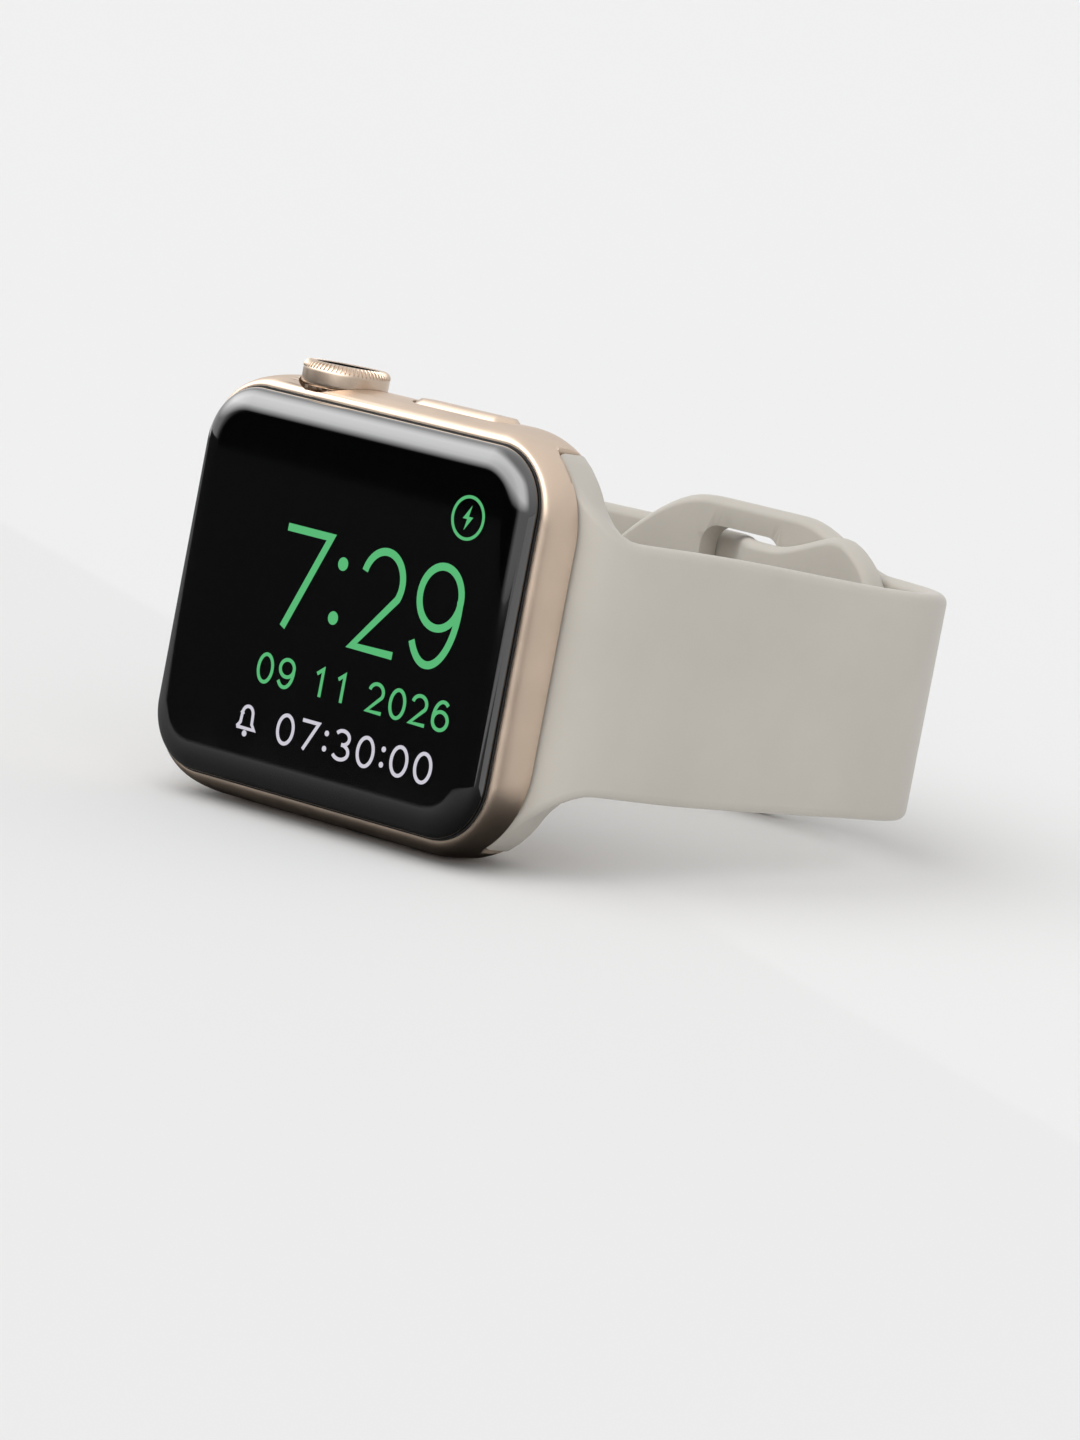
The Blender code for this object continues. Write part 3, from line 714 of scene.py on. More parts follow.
def add_stroke(bm, points, width, layer=0, closed=False):
    """A flat ribbon of even width through (x, z) points, as a closed prism just in front of the glass."""
    spots = [Vector(p) for p in points]
    last = len(spots) - 1
    edges = ([], [])
    for k, spot in enumerate(spots):
        before = spots[k - 1] if k else (spots[last - 1] if closed else None)
        after = spots[k + 1] if k < last else (spots[1] if closed else None)
        into = (spot - before).normalized() if before is not None else None
        out = (after - spot).normalized() if after is not None else None
        into, out = into or out, out or into
        along = (into + out).normalized()
        side = Vector((-along.y, along.x)) * (width / 2 / max(along.dot(into), 0.5))
        edges[0].append(spot + side)
        edges[1].append(spot - side)
    front = GLASS_LOW.y - STROKE_DEPTH - 0.002 * layer
    back = GLASS_LOW.y - 0.002
    rings = [[
        (left.x, front, left.y), (right.x, front, right.y), (right.x, back, right.y), (left.x, back, left.y),
    ] for left, right in zip(*edges)]
    add_loft(bm, rings[:-1] if closed else rings, ends=not closed)


def add_number(bm, text, left, base, wide, high, pitch, width):
    """Writes digits, colons and spaces from left along X, standing on base."""
    layer = 0
    at = left
    for sign in text:
        if sign == ":":
            for up in (0.22, 0.76):
                add_dot(bm, at + 0.10 * wide, base + up * high, width * 0.78)
            at += 0.42 * pitch
            continue
        for stroke in GLYPHS.get(sign, ()):
            points = [(at + x * wide, base + z * high) for x, z in stroke]
            closed = len(points) > 38
            add_stroke(bm, points, width, layer, closed)
            layer += 1
        at += pitch * (0.6 if sign == " " else 1)


def add_dot(bm, x, z, radius):
    front = GLASS_LOW.y - STROKE_DEPTH
    add_turned(bm, [(0, front), (radius, front), (radius, -0.002), (0, -0.002)], (x, 0, z), "Y", 32)


def lit_digits():
    """The time, the charging mark and the date row, all in the colour of the large digits."""
    bm = bmesh.new()
    base, high, stroke = -2.35, 7.6, 0.60
    for sign, left, wide in (("7", -6.3, 4.75), ("2", 2.45, 4.55), ("9", 8.55, 4.6)):
        add_number(bm, sign, left, base, wide, high, 0, stroke)
    for z in (-0.70, 3.50):
        add_dot(bm, 0.16, z, 0.52)
    mark = Vector((12.1, 9.25))
    add_stroke(bm, [mark + Vector(p) for p in oval((0, 0), 1.60, 1.60, 0, 360, 64)], 0.24, 0, True)
    bolt = [(0.22, 0.95), (-0.52, -0.10), (-0.05, -0.10), (-0.22, -0.95), (0.52, 0.10), (0.05, 0.10)]
    front, back = GLASS_LOW.y - STROKE_DEPTH, GLASS_LOW.y - 0.002
    add_loft(bm, [[(mark.x + x, y, mark.y + z) for x, z in bolt] for y in (front, back)])
    add_number(bm, "09 11 2026", -6.75, -6.85, 1.6, 2.15, 2.33, 0.28)
    return bm


def lit_minor():
    """The alarm row: a bell and a time."""
    bm = bmesh.new()
    add_number(bm, "07:30:00", -3.5, -11.05, 1.75, 2.2, 2.56, 0.28)
    bell = [(-0.95, 0.45), (-0.62, 0.85), (-0.58, 1.55)] + oval((0, 1.55), 0.58, 0.62, 180, 0, 12)
    bell += [(0.62, 0.85), (0.95, 0.45), (-0.95, 0.45)]
    x, z = -6.9, -11.15
    add_stroke(bm, [(x + a, z + b) for a, b in bell], 0.26)
    add_dot(bm, x, z + 0.05, 0.24)
    return bm


# ---- Repeated details, grown by Geometry Nodes ----

def node_group(name, inputs):
    """An empty Geometry Nodes tree with named inputs; gives the tree and a function that adds nodes."""
    tree = bpy.data.node_groups.new(name, "GeometryNodeTree")
    tree.interface.new_socket(name="Geometry", in_out="INPUT", socket_type="NodeSocketGeometry")
    for label, kind, default in inputs:
        made = tree.interface.new_socket(name=label, in_out="INPUT", socket_type=kind)
        if default is not None:
            made.default_value = default
    tree.interface.new_socket(name="Geometry", in_out="OUTPUT", socket_type="NodeSocketGeometry")
    return tree, Maker(tree)


def end_group(maker, geometry, given):
    """Ends a tree in Realize Instances and Set Material."""
    whole = maker.node("GeometryNodeRealizeInstances", None, {"Geometry": geometry})
    painted = maker.node("GeometryNodeSetMaterial", None, {
        "Geometry": whole, "Material": given["Material"],
    })
    maker.node("NodeGroupOutput", None, {"Geometry": painted})


def given_inputs(maker):
    """The tree's own inputs by name."""
    node = maker.tree.nodes.new("NodeGroupInput")
    return {socket.name: Signal(maker, socket) for socket in node.outputs if socket.name}


def knurl_tree():
    """Copies one tooth evenly round the Z axis."""
    tree, maker = node_group("crown_knurl", [
        ("Teeth", "NodeSocketInt", 64), ("Material", "NodeSocketMaterial", None),
    ])
    given = given_inputs(maker)
    points = maker.node("GeometryNodePoints", None, {"Count": given["Teeth"]})
    turn = maker.node("GeometryNodeInputIndex") * maker.node(
        "ShaderNodeMath", {"operation": "DIVIDE"}, {0: 2 * math.pi, 1: given["Teeth"]}
    )
    rotation = maker.node("ShaderNodeCombineXYZ", None, {"Z": turn})
    ring = maker.node("GeometryNodeInstanceOnPoints", None, {
        "Points": points, "Instance": given["Geometry"], "Rotation": rotation,
    })
    end_group(maker, ring, given)
    return tree


def perforation_tree():
    """Cuts a grid of round holes through plates that lie across Z."""
    tree, maker = node_group("grille_holes", [
        ("Columns", "NodeSocketInt", 46), ("Rows", "NodeSocketInt", 3), ("Length", "NodeSocketFloat", 19.0),
        ("Width", "NodeSocketFloat", 0.84), ("Hole radius", "NodeSocketFloat", 0.13),
        ("Material", "NodeSocketMaterial", None),
    ])
    given = given_inputs(maker)
    grid = maker.node("GeometryNodeMeshGrid", None, {
        "Size X": given["Length"], "Size Y": given["Width"],
        "Vertices X": given["Columns"], "Vertices Y": given["Rows"],
    })
    hole = maker.node("GeometryNodeMeshCylinder", None, {
        "Vertices": 12, "Radius": given["Hole radius"], "Depth": 2.0,
    })
    holes = maker.node("GeometryNodeInstanceOnPoints", None, {"Points": grid, "Instance": hole})
    solid = maker.node("GeometryNodeRealizeInstances", None, {"Geometry": holes})
    plate = maker.node("GeometryNodeMeshBoolean", {"operation": "DIFFERENCE"}, {
        "Mesh 1": given["Geometry"], "Mesh 2": solid,
    })
    end_group(maker, plate, given)
    return tree


def grown(name, bm, tree, inputs, place, sharp=35.0):
    """Runs a tree on a mesh in millimetres, then puts the result at place in the watch."""
    mesh = bpy.data.meshes.new(name)
    bmesh.ops.recalc_face_normals(bm, faces=bm.faces)
    bm.to_mesh(mesh)
    bm.free()
    obj = bpy.data.objects.new(name, mesh)
    bpy.context.scene.collection.objects.link(obj)
    modifier = obj.modifiers.new(name, "NODES")
    modifier.node_group = tree
    named = {item.name: item.identifier for item in tree.interface.items_tree if item.in_out == "INPUT"}
    for label, value in inputs.items():
        modifier[named[label]] = value
    bpy.context.view_layer.update()
    applied(obj)
    obj.data.transform(WATCH @ place)
    obj.data.shade_smooth()
    obj.data.set_sharp_from_angle(angle=math.radians(sharp))
    return obj


def grilles(metal):
    """Perforated plates inside the speaker and microphone ports."""
    room, thick = 0.04, 0.24
    middle = sum(x for x, _, _ in PORTS[:2]) / 2 - 5.0
    bm = bmesh.new()
    for x, long, wide in PORTS:
        add_loft(bm, [
            pill_ring((x - middle, 0, 0), long - room, wide - room, z, "Z") for z in (-thick / 2, thick / 2)
        ])
    place = Matrix.Translation((middle, PORT_Y, GRILLE_Z))
    plates = grown("port_grilles", bm, perforation_tree(), {"Material": metal}, place)
    keep(plates, "case", "steel")


# ---- Crown and side button ----

def rod(radius, low, high):
    return [(0, low), (radius, low), (radius, high), (0, high)]


SHOULDER = 0.8  # radius of the crown's rounded upper edge


def tooth_mesh(settings, centre):
    """One knurl along the crown's shoulder: a low rounded ridge with tapered ends."""
    bm = bmesh.new()
    rings = []
    wide = 0.55 * 2 * math.pi * CROWN_RADIUS / settings.teeth
    steps = 8
    for k in range(steps + 1):
        angle = math.radians(14 + 58 * k / steps)
        high = settings.tooth_height * math.sin(math.pi * (0.04 + 0.92 * k / steps)) ** 0.5
        half = wide / 2 * (0.25 + 0.75 * math.sin(math.pi * (0.04 + 0.92 * k / steps)) ** 0.5)
        ring = []
        for across, up in ((-1, -0.8), (-0.85, 0.35), (-0.4, 0.9), (0.4, 0.9), (0.85, 0.35), (1, -0.8)):
            out = SHOULDER + up * high
            ring.append((
                centre[0] + out * math.cos(angle), across * half, centre[1] + out * math.sin(angle),
            ))
        rings.append(ring)
    add_loft(bm, rings)
    return bm


class WATCH_OT_crown(bpy.types.Operator):
    """Builds the crown with its knurled shoulder and gloss cap, and the side button"""

    bl_idname = "watch.controls"
    bl_label = "Crown and side button"

    def execute(self, context):
        settings = context.scene.watch_crown
        crown = (CROWN_X, CONTROL_Y, 0)
        foot, top = KNOB_LOW.z, KNOB_HIGH.z
        well = 2.46  # radius of the hollow that the cap lies in
        shoulder = (CROWN_RADIUS - SHOULDER, top - SHOULDER)
        profile = [(0.9, foot), (2.7, foot)] + arc((CROWN_RADIUS - 0.35, foot + 0.35), 0.35, -80, 0, 8)
        profile += arc(shoulder, SHOULDER, 0, 74, 14)
        profile += [(2.66, top - 0.01), (2.52, top - 0.03), (well, top - 0.05), (well, top - 0.4)]
        profile += [(0, top - 0.4), (0, top - 1), (0.9, top - 1)]
        knob = finished(
            "crown_body", mesh_in(add_turned, profile, crown, "Z", 144), finishes["crown_gold"], 40
        )
        keep(knob, "crown", "gold_aluminium", "crown_knob")
        teeth = grown("crown_teeth", tooth_mesh(settings, shoulder), knurl_tree(), {
            "Teeth": settings.teeth, "Material": finishes["crown_gold"],
        }, Matrix.Translation(crown))
        keep(teeth, "crown", "gold_aluminium")
        edge, low, high = CAP_HIGH.x - CROWN_X, CAP_LOW.z, CAP_HIGH.z
        swell = 0.10
        dome = [(edge * math.cos(a), high - swell + swell * math.sin(a)) for a in quarter(10)]
        cap_profile = [(0, low), (edge, low)] + dome[:-1] + [(0, high)]
        cap = finished(
            "crown_gloss_cap", mesh_in(add_turned, cap_profile, crown, "Z", 96), finishes["gloss_black"], 50
        )
        keep(cap, "crown", "black_plastic", "crown_cap")
        self.side_button()
        return {"FINISHED"}

    def side_button(self):
        centre = (BUTTON_X, CONTROL_Y, 0)
        long, wide, _ = BUTTON_HIGH - BUTTON_LOW
        top, chamfer = BUTTON_HIGH.z, 0.42
        steps = ((BUTTON_LOW.z, 0), (top - chamfer - 0.05, 0), (top - chamfer, 0.03),
                 (top - 0.05, chamfer - 0.04),
                 (top - 0.01, chamfer + 0.03), (top, chamfer + 0.12))
        bm = mesh_in(add_loft, [
            pill_ring(centre, long - 2 * by, wide - 2 * by, z, "Z", 24) for z, by in steps
        ])
        button = finished("side_button_cap", bm, finishes["gold"], 20)
        # The chamfer faces take a smoother gold with a lighter base colour: real polish plus a painted
        # highlight.
        button.data.materials.append(finishes["polished_highlight_gold"])
        chamfer_low, chamfer_high = (WATCH @ Vector((0, 0, z)) for z in (top - chamfer - 0.02, top - 0.03))
        up = (WATCH.to_3x3() @ Vector((0, 0, 1))).normalized()
        for face in button.data.polygons:
            if chamfer_low.dot(up) < face.center.dot(up) < chamfer_high.dot(up):
                face.material_index = 1
        keep(button, "side_button", "gold_aluminium", "side_button")


# ---- Band ----

LUG_GAP, LUG_THICKNESS = 0.3, 3.4
STRAP_EDGE = 0.8  # radius of the straps' long edges
STRAP_HALF, FLARE_HALF = 9.7, 16.0
FLARE_START, FLARE_LENGTH = 13.75, 8.9
BACK_HALF = 9.0  # half width where the band turns to the back
KEEPER_HALF = 12.0  # half width round the slot that takes the tail
TAIL_HALF, TAIL_RISE = 9.3, 2.1
LAYER_STEP = 2.3  # from the middle of one strap layer to the next
SLOT = (-5.7, 2.7)
SHORT_END, TAIL_END = -17.0, 19.5
STUD_AT = -11.0
HOLE_PITCH, HOLE_COUNT, HOLE_RADIUS, SEAT_RADIUS = 6.5, 7, 1.9, 1.85
# The middle of the band's thickness, from the right lug to the middle of the back.
HALF_LOOP = (
    (CHANNEL_FLOOR + LUG_GAP, CHANNEL_Y), (18.9, 6.6), (21.3, 8.4), (22.4, 12.3), (24.0, 22.0), (25.6, 32.0),
    (25.3, 39.0), (21.3, 43.6), (14.0, 46.2), (7.0, 47.3), (0.0, 47.6),
)


def loop_path():
    """Points along the whole closed band with their distance from the middle of the back, negative on
    the left. A smooth curve runs through HALF_LOOP and its mirror image."""
    knots = [Vector(spot) for spot in HALF_LOOP]
    knots = [Vector((-v.x, v.y)) for v in knots[:-1]] + knots[::-1]
    knots = [2 * knots[0] - knots[1]] + knots + [2 * knots[-1] - knots[-2]]
    points = []
    for a, b, c, d in zip(knots, knots[1:], knots[2:], knots[3:]):
        for k in range(40):
            t = k / 40
            points.append(0.5 * (
                2 * b + (c - a) * t + (2 * a - 5 * b + 4 * c - d) * t ** 2
                + (3 * b - a - 3 * c + d) * t ** 3
            ))
    points.append(knots[-2])
    travelled = [0.0]
    for a, b in zip(points, points[1:]):
        travelled.append(travelled[-1] + (b - a).length)
    half = travelled[-1] / 2
    return [distance - half for distance in travelled], points


DISTANCES, LOOP = loop_path()
HALF_LENGTH = DISTANCES[-1]


def loop_spot(distance):
    """The point of the loop at a distance along it, evenly between its points."""
    index = next((i for i, at in enumerate(DISTANCES) if at > distance), len(LOOP) - 1)
    index = max(index, 1)
    part = (distance - DISTANCES[index - 1]) / (DISTANCES[index] - DISTANCES[index - 1])
    return LOOP[index - 1].lerp(LOOP[index], part)


def on_loop(distance, offset=0.0):
    """The point at a distance along the band, offset outwards, and the outward direction there."""
    reach = 0.35
    ahead = (loop_spot(min(distance + reach, HALF_LENGTH)) - loop_spot(max(distance - reach, -HALF_LENGTH)))
    ahead.normalize()
    outward = Vector((-ahead.y, ahead.x))
    return loop_spot(distance) + outward * offset, outward


def section(distance, offset, half, rise, thickness):
    """A strap's cross-section with its long edges rounded."""
    middle, outward = on_loop(distance, offset)
    radius = min(STRAP_EDGE, half * 0.9)
    flat = 10
    steps = 8
    ring = []
    for corner, (sn, sz) in enumerate(((1, 1), (-1, 1), (-1, -1), (1, -1))):
        for step in range(steps + 1):
            angle = math.pi / 2 * (corner + step / steps)
            ring.append((
                sn * (thickness / 2 - radius) + radius * math.cos(angle),
                sz * (half - radius) + radius * math.sin(angle),
            ))
        if corner in (1, 3):
            across = ring[-1][0]
            ring += [(across, (half - radius) * sz * (1 - 2 * k / flat)) for k in range(1, flat)]
    spots = []
    for across, up in ring:
        spot = middle + outward * across
        spots.append((spot.x, spot.y, up + rise))
    return spots


def lug_shape(from_lug):
    """Half width and thickness of a strap at a distance from its end in the channel."""
    t = smooth((from_lug + HALF_LOOP[0][0] + 0.1 - FLARE_START) / FLARE_LENGTH)
    half = FLARE_HALF + (STRAP_HALF - FLARE_HALF) * t
    thin = smooth((from_lug - 3.5) / 5.0)
    return half, LUG_THICKNESS + (band_settings().thickness - LUG_THICKNESS) * thin


def round_end(half, from_end):
    """Half width near an end that closes in a half circle."""
    if from_end >= half:
        return half
    return math.sqrt(max(half ** 2 - (half - from_end) ** 2, 0))


def band_settings():
    return bpy.context.scene.watch_band


def short_section(distance):
    half, thickness = lug_shape(HALF_LENGTH - distance)
    half += (BACK_HALF - STRAP_HALF) * smooth((HALF_LENGTH - distance - 12) / 24)
    half += (KEEPER_HALF - BACK_HALF) * (1 - smooth((abs(distance + 1.5) - 5.5) / 11.0))
    half = min(half, round_end(half, distance - SHORT_END))
    return section(distance, 0.0, half, 0.0, thickness)


def long_section(distance):
    half, thickness = lug_shape(distance + HALF_LENGTH)
    half += (TAIL_HALF - STRAP_HALF) * smooth((distance + HALF_LENGTH - 12) / 24)
    half = round_end(half, TAIL_END - distance)
    offset = LAYER_STEP * (smooth((distance + 27) / 8) - 2 * smooth((distance + 5.0) / 7.0))
    rise = TAIL_RISE * smooth((distance - 3.5) / 9.0)
    return section(distance, offset, half, rise, thickness)


def stations(tip, lug):
    """Places along a strap from its round tip to its lug, closer together near the tip."""
    spacing = band_settings().spacing
    toward = 1 if lug > tip else -1
    near = [tip + toward * (0.04 + 9.0 * (k / 18) ** 2) for k in range(19)]
    count = round(abs(lug - near[-1]) / spacing)
    rest = [near[-1] + (lug - near[-1]) * k / count for k in range(1, count + 1)]
    return sorted(near + rest)


def across_band(bm, distance, profile, segments=64):
    """Adds a turned solid whose axis points outwards through the band at a distance along it."""
    middle, outward = on_loop(distance)
    made = bmesh.new()
    add_turned(made, profile, (0, 0, 0), "Y", segments)
    turn = Matrix.Rotation(-math.atan2(outward.x, outward.y), 4, "Z")
    made.transform(Matrix.Translation((middle.x, middle.y, 0)) @ turn)
    mesh = bpy.data.meshes.new("turned")
    made.to_mesh(mesh)
    made.free()
    bm.from_mesh(mesh)
    bpy.data.meshes.remove(mesh)
    return bm


def pin_bore(side):
    mouth = (side * (CHANNEL_FLOOR + LUG_GAP), CHANNEL_Y, 0)
    return mesh_in(add_turned, rod(1.0, *sorted((-side, side * 2.6))), mouth, "X", 40)


class WATCH_OT_band(bpy.types.Operator):
    """Builds both straps of the closed band and the stud that fastens them"""

    bl_idname = "watch.band"
    bl_label = "Band"

    def execute(self, context):
        short = [short_section(d) for d in stations(SHORT_END, HALF_LENGTH)]
        long = [long_section(d) for d in stations(TAIL_END, -HALF_LENGTH)]
        keeper = finished("keeper_strap", mesh_in(add_loft, short))
        middle, half = (SLOT[0] + SLOT[1]) / 2, (SLOT[1] - SLOT[0]) / 2
        slot_bar = mesh_in(add_loft, [
            [(x + middle, y, z) for x, _, z in rounded(half, TAIL_HALF + 0.4, 1.6, 0, 12)]
            for y in (44.0, 50.5)
        ])
        seat = across_band(bmesh.new(), STUD_AT, rod(SEAT_RADIUS, -4, 4))
        cut_from(keeper, [slot_bar, seat, pin_bore(1)])
        tail = finished("tail_strap", mesh_in(add_loft, long))
        holes = [
            across_band(bmesh.new(), STUD_AT + HOLE_PITCH * (number - 3), rod(HOLE_RADIUS, -4, 4))
            for number in range(HOLE_COUNT)
        ]
        cut_from(tail, holes + [pin_bore(-1)])
        for strap, node in ((keeper, "strap_short"), (tail, "strap_long")):
            bevelled(strap, 0.22, 3, 50)
            dress(strap, finishes["silicone"], 45)
            keep(strap, "band", "band_silicone", node)
        stud = finished("closing_stud", across_band(bmesh.new(), STUD_AT, [
            (0, -1.95), (2.6, -1.95), (2.8, -1.9), (2.9, -1.75), (2.9, -1.45), (2.8, -1.3),
            (1.6, -1.3), (1.5, -1.2), (1.5, 3.65), (1.6, 3.78), (2.2, 3.82), (2.3, 3.92),
            (2.3, 4.2), (2.2, 4.34), (1.75, 4.58), (1.6, 4.66),
            (1.3, 4.7), (0, 4.7),
        ], 96), finishes["crown_gold"], 40)
        keep(stud, "band", "gold_aluminium", "band_stud")
        return {"FINISHED"}


# ---- Back of the case ----

class WATCH_OT_back(bpy.types.Operator):
    """Builds the ceramic back ring, the sensor crystal and the two band release buttons"""

    bl_idname = "watch.back"
    bl_label = "Back and releases"

    def execute(self, context):
        inner, outer = 9.9, COVER_HIGH.x
        low, high = COVER_LOW.y, COVER_HIGH.y
        cover = finished("ceramic_ring", mesh_in(add_turned, [
            (inner, low), (outer - 0.3, low), (outer, low + 0.2), (outer, high - 0.55),
            (outer - 0.05, high - 0.44),
            (outer - 0.2, high - 0.34), (outer - 0.5, high - 0.25), (outer - 1.1, high - 0.1),
            (inner + 0.15, high - 0.01), (inner + 0.04, high - 0.04), (inner, high - 0.1),
        ], (0, 0, 0), "Y", 160), finishes["ceramic"], 40)
        keep(cover, "case", "back_ceramic", "back_cover")
        edge, base = DOME_HIGH.x, 9.9
        swell = DOME_HIGH.y - base
        dome = [(edge * math.sin(a), base + swell * math.cos(a)) for a in quarter(24)[::-1]]
        profile = [(0, DOME_LOW.y), (edge, DOME_LOW.y)] + dome[:-1] + [(0, base + swell)]
        crystal = finished(
            "sensor_dome", mesh_in(add_turned, profile, (0, 0, 0), "Y", 128), finishes["crystal"], 40
        )
        keep(crystal, "case", "sensor_crystal", "sensor_crystal")
        for side, name in ((1, "right"), (-1, "left")):
            self.release(side, name)
        return {"FINISHED"}

    def release(self, side, name):
        """A release button with the foot its spring bears on and the tooth that holds the lug pin."""
        low, high = 9.0, RELEASE_HIGH.y
        long = RELEASE_HIGH.z - RELEASE_LOW.z
        wide, fillet = 1.5, 0.3
        steps = [(low, 0)]
        steps += [(high - fillet * (1 - math.sin(a)), fillet * (1 - math.cos(a))) for a in quarter(5)]
        button = finished(f"release_{name}_cap", mesh_in(add_loft, [
            pill_ring((side * RELEASE_X, 0, 0), long - 2 * by, wide - 2 * by, y, "Y", 24) for y, by in steps
        ]))
        blocks = []
        spring_foot = (13.15, 6.6), (13.65, 9.5)
        pin_tooth = (13.4, 6.8), (CHANNEL_FLOOR - 0.15, 8.0)
        for (near, front), (far, back) in (spring_foot, pin_tooth):
            middle, half = side * (near + far) / 2, (far - near) / 2
            blocks.append(mesh_in(add_loft, [
                [(x + middle, y, z) for x, _, z in rounded(half, 1.0, 0.1, 0, 4)] for y in (front, back)
            ]))
        cut_from(button, blocks, "UNION")
        dress(button, finishes["gold"], 35)
        keep(button, f"release_{name}", "gold_aluminium", f"release_button_{name}")


# ---- Parts kept as packed ----

SLOT_FINISH = {
    "display": "panel", "seal_rubber": "rubber", "steel": "steel", "brass": "brass", "copper": "copper",
    "shield_can": "shield", "sensor_chip": "chip", "led_lens": "lens", "circuit_board": "board",
    "battery_wrap": "battery", "black_plastic": "plastic",
    "gold_aluminium": "gold", "back_ceramic": "ceramic",
    "cover_glass": "black_glass", "sensor_crystal": "crystal", "band_silicone": "silicone",
}


def sensor_glass(name, base):
    """Dark crystal with four round windows, one over each sensor below it."""
    def varied(maker):
        place = maker.watch_coordinates()
        mask = None
        for x, z in ((0, 3.9), (0, -3.9), (3.9, 0), (-3.9, 0)):
            away = maker.node("ShaderNodeVectorMath", {"operation": "SUBTRACT"}, {0: place, 1: (x, 0, z)})
            flat = maker.node("ShaderNodeVectorMath", {"operation": "MULTIPLY"}, {0: away, 1: (1, 0, 1)})
            reach = maker.node("ShaderNodeVectorMath", {"operation": "LENGTH"}, {0: flat}, output=1)
            window = reach.between(1.85, 1.95, 1, 0)
            mask = window if mask is None else mask + window
        return {
            "Base Color": maker.tint(mask, base, (0.10, 0.115, 0.10)),
            "Roughness": maker.noise(place, 0.4).between(0.3, 0.7, 0.04, 0.09),
        }
    return new_material(name, {"IOR": 1.77}, varied)


finishes = {}


def make_finishes(scene):
    """Every finish but the lit ones, by name."""
    case, band = scene.watch_case, scene.watch_band
    gold, rough = tuple(case.metal), case.metal_roughness
    finishes.update({
        "gold": blasted_metal("satin_gold", gold, rough),
        "crown_gold": blasted_metal("crown_gold", gold, 0.30, 0.4),
        # Smoother gold for the button's chamfer; its base colour is made 6% lighter as a painted highlight.
        "polished_highlight_gold": blasted_metal("polished_highlight_gold", shaded(gold, 1.06), 0.16, 0.3),
        "mesh": turned_metal("grille_mesh", (0.05, 0.045, 0.04), 0.45),
        "steel": turned_metal("spring_steel", (0.60, 0.60, 0.61), 0.28, "Y"),
        "brass": turned_metal("turned_brass", (0.72, 0.56, 0.27), 0.30),
        "copper": turned_metal("wound_copper", (0.76, 0.38, 0.22), 0.34, "Y"),
        "shield": turned_metal("tinned_shield", (0.52, 0.53, 0.55), 0.38, "X"),
        "black_glass": polished_glass(
            "black_glass", (0.001, 0.001, 0.0012), 0.05, **{"IOR": 1.77, "Coat Weight": 1.0}
        ),
        "gloss_black": polished_glass(
            "gloss_black", (0.005, 0.005, 0.005), 0.3, **{"Specular IOR Level": 0.0}
        ),
        "panel": polished_glass("display_panel", (0.004, 0.004, 0.005), 0.2),
        "chip": polished_glass("sensor_chip", (0.03, 0.04, 0.06), 0.18),
        "lens": polished_glass("led_lens", (0.07, 0.36, 0.14), 0.08),
        "crystal": sensor_glass("sensor_crystal", (0.012, 0.012, 0.013)),
        "ceramic": moulded("back_ceramic", (0.70, 0.69, 0.67), 0.16, 0.03, 3.0, **{"Coat Weight": 0.5}),
        "rubber": moulded("seal_rubber", (0.012, 0.012, 0.012), 0.7),
        "plastic": moulded("black_plastic", (0.016, 0.016, 0.017), 0.4),
        "battery": moulded("battery_wrap", (0.13, 0.13, 0.14), 0.45, 0.1, 2.0),
        "board": circuit("circuit_board", (0.02, 0.10, 0.055)),
        "silicone": silicone_finish(tuple(band.silicone)),
    })


class WATCH_OT_inner(bpy.types.Operator):
    """Gives every part that is kept as packed the finish of its slot"""

    bl_idname = "watch.inner"
    bl_label = "Inner parts"

    def execute(self, context):
        for part in frame["record"]["subparts"]:
            for place in frame["nodes"][part["node"]].material_slots:
                place.material = finishes[SLOT_FINISH[part["material_slot"]]]
        return {"FINISHED"}


# ---- Stage ----

VIEW_RIGHT = Vector((0.7140, 0.6746, 0.1872))
VIEW_UP = Vector((-0.1940, -0.0662, 0.9787))
VIEW_MIDDLE = Vector((0, 1.2, 0)) + 14.97 * VIEW_RIGHT - 8.42 * VIEW_UP
VIEW_HEIGHT = 110.1  # what the picture takes in from bottom to top, at the watch
VIEW_DISTANCE = 620.0
FLOOR_TONE = 0.845
SHADE_SIDE = Vector((-0.42, -0.91, 0.0)).normalized()  # where the flat of the glass looks, from the camera
SOFTBOX = 3.2  # how bright a panel above that side looks in polished surfaces


def floor_material():
    """A plain pale floor with the faintest mottling."""
    def varied(maker):
        place = maker.node("ShaderNodeTexCoord", output="Object")
        cloud = maker.noise(place, 6.0, 2.0)
        return {"Base Color": maker.tint(cloud, (FLOOR_TONE * 0.995,) * 3, (FLOOR_TONE * 1.005,) * 3)}
    return new_material("pale_floor", {"Roughness": 0.9, "Specular IOR Level": 0.1}, varied)


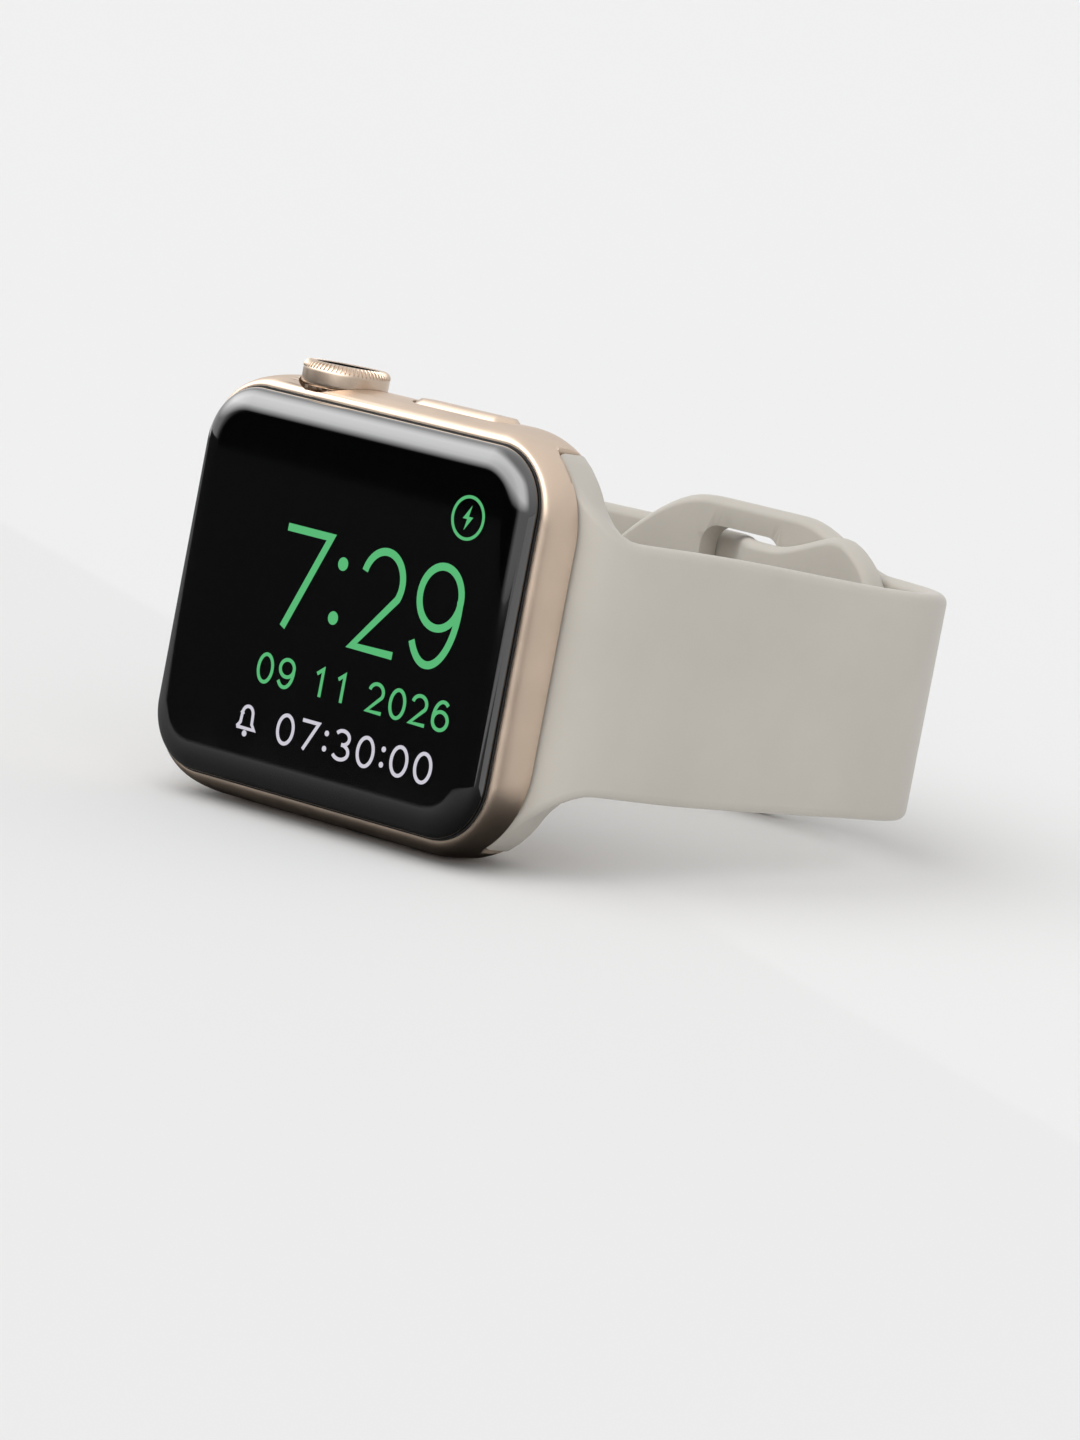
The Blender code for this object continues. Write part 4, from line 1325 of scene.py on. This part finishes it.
def soft_world():
    """Even soft light, which polished surfaces see as a pale room with one dark side."""
    world = bpy.data.worlds.new("soft_room")
    bpy.context.scene.world = world
    world.use_nodes = True
    world.cycles.sampling_method = "NONE"
    tree = world.node_tree
    maker = Maker(tree)
    toward = maker.node("ShaderNodeTexCoord")
    parts = maker.node("ShaderNodeSeparateXYZ", None, {"Vector": toward})
    height = Signal(maker, parts.socket.node.outputs["Z"])
    overhead = height.between(-0.1, 0.75, 0.62, 1.12)
    facing = maker.node("ShaderNodeVectorMath", {"operation": "DOT_PRODUCT"}, {
        0: toward, 1: tuple(SHADE_SIDE),
    }, output=1)
    dark = facing.between(0.80, 0.93, 1.0, 0.004)
    panel = height.between(0.12, 0.34) * height.between(0.70, 0.92, 1, 0) * facing.between(0.1, 0.6)
    room = overhead * dark + panel * SOFTBOX
    rays = maker.node("ShaderNodeLightPath").socket.node
    glossy = Signal(maker, rays.outputs["Is Glossy Ray"])
    fill = 0.66
    strength = maker.node("ShaderNodeMix", {"data_type": "FLOAT"}, {0: glossy, 2: fill, 3: room})
    background = tree.nodes["Background"]
    background.inputs["Color"].default_value = (1, 1, 1, 1)
    tree.links.new(strength.socket, background.inputs["Strength"])


def soft_sun(name, strength, toward, spread):
    """A wide soft lamp that shines from the direction toward."""
    lamp = bpy.data.lights.new(name, "SUN")
    lamp.energy = strength
    lamp.angle = math.radians(spread)
    obj = bpy.data.objects.new(name, lamp)
    obj.visible_glossy = False
    obj.rotation_euler = Vector(toward).to_track_quat("Z", "Y").to_euler()
    bpy.context.scene.collection.objects.link(obj)


class WATCH_OT_stage(bpy.types.Operator):
    """Lays the floor and sets up the soft light and the camera"""

    bl_idname = "watch.stage"
    bl_label = "Stage"

    def execute(self, context):
        scene = context.scene
        scene.view_settings.view_transform = "Standard"
        bm = bmesh.new()
        bmesh.ops.create_grid(bm, x_segments=4, y_segments=4, size=6.0)
        mesh = bpy.data.meshes.new("floor")
        bm.to_mesh(mesh)
        bm.free()
        mesh.materials.append(floor_material())
        floor = bpy.data.objects.new("floor", mesh)
        scene.collection.objects.link(floor)
        self.black_flag(scene)
        soft_world()
        soft_sun("key_light", 1.0, (-0.35, -0.45, 1.0), 70)
        soft_sun("side_light", 0.5, (0.75, -0.8, 0.6), 60)
        self.camera(scene)
        return {"FINISHED"}

    def black_flag(self, scene):
        """A black card on the floor, turned up at its far end, that only reflections show, so that the
        flat of the glass stays dark."""
        near, away, half, high, lift = -0.02, 0.22, 0.5, 0.032, 0.0004
        across = Vector((-SHADE_SIDE.y, SHADE_SIDE.x, 0))
        front = Vector((0, ORIGIN.y, 0))
        bm = bmesh.new()
        rows = []
        for out, up in ((near, lift), (away, lift), (away, high)):
            middle = front + SHADE_SIDE * out + Vector((0, 0, up))
            rows.append([bm.verts.new(middle + across * side) for side in (-half, half)])
        for (left, right), (far_left, far_right) in zip(rows, rows[1:]):
            bm.faces.new((left, right, far_right, far_left))
        mesh = bpy.data.meshes.new("black_flag")
        bm.to_mesh(mesh)
        bm.free()
        mesh.materials.append(finishes["rubber"])
        flag = bpy.data.objects.new("black_flag", mesh)
        scene.collection.objects.link(flag)
        for seen in ("visible_camera", "visible_diffuse", "visible_shadow", "visible_transmission"):
            setattr(flag, seen, False)

    def camera(self, scene):
        lens = bpy.data.cameras.new("view")
        lens.sensor_fit = "VERTICAL"
        lens.lens = lens.sensor_height * VIEW_DISTANCE / VIEW_HEIGHT
        lens.clip_end = 100
        camera = bpy.data.objects.new("view", lens)
        scene.collection.objects.link(camera)
        right = (TURN.to_3x3() @ VIEW_RIGHT).normalized()
        toward = right.cross(TURN.to_3x3() @ VIEW_UP).normalized()
        up = toward.cross(right)
        place = WATCH @ VIEW_MIDDLE + toward * VIEW_DISTANCE * MM
        camera.matrix_world = Matrix.Translation(place) @ Matrix((right, up, toward)).transposed().to_4x4()
        scene.camera = camera


# ---- Add-on ----

class WATCH_PT_panel(bpy.types.Panel):
    """Lists the watch's pieces and their settings"""

    bl_idname = "WATCH_PT_panel"
    bl_label = "Smartwatch"
    bl_space_type = "VIEW_3D"
    bl_region_type = "UI"
    bl_category = "Smartwatch"

    def draw(self, context):
        for operator, group in STEPS:
            box = self.layout.box()
            box.operator(operator.bl_idname)
            if group:
                settings = getattr(context.scene, group)
                for name in settings.__annotations__:
                    box.prop(settings, name)


STEPS = (
    (WATCH_OT_case, "watch_case"),
    (WATCH_OT_glass, "watch_glass"),
    (WATCH_OT_crown, "watch_crown"),
    (WATCH_OT_back, None),
    (WATCH_OT_band, "watch_band"),
    (WATCH_OT_inner, None),
    (WATCH_OT_stage, None),
)
GROUPS = {
    "watch_case": CaseSettings,
    "watch_glass": GlassSettings,
    "watch_crown": CrownSettings,
    "watch_band": BandSettings,
}


def register():
    for group in GROUPS.values():
        bpy.utils.register_class(group)
    for operator, _ in STEPS:
        bpy.utils.register_class(operator)
    bpy.utils.register_class(WATCH_PT_panel)
    for name, group in GROUPS.items():
        setattr(bpy.types.Scene, name, PointerProperty(type=group))


def unregister():
    for name in GROUPS:
        delattr(bpy.types.Scene, name)
    bpy.utils.unregister_class(WATCH_PT_panel)
    for operator, _ in reversed(STEPS):
        bpy.utils.unregister_class(operator)
    for group in reversed(GROUPS.values()):
        bpy.utils.unregister_class(group)


def main():
    register()
    make_finishes(bpy.context.scene)
    bpy.ops.watch.case()
    bpy.ops.watch.glass()
    bpy.ops.watch.controls()
    bpy.ops.watch.back()
    bpy.ops.watch.band()
    bpy.ops.watch.inner()
    bpy.ops.watch.stage()
    bpy.context.view_layer.update()


if __name__ == "__main__":
    main()
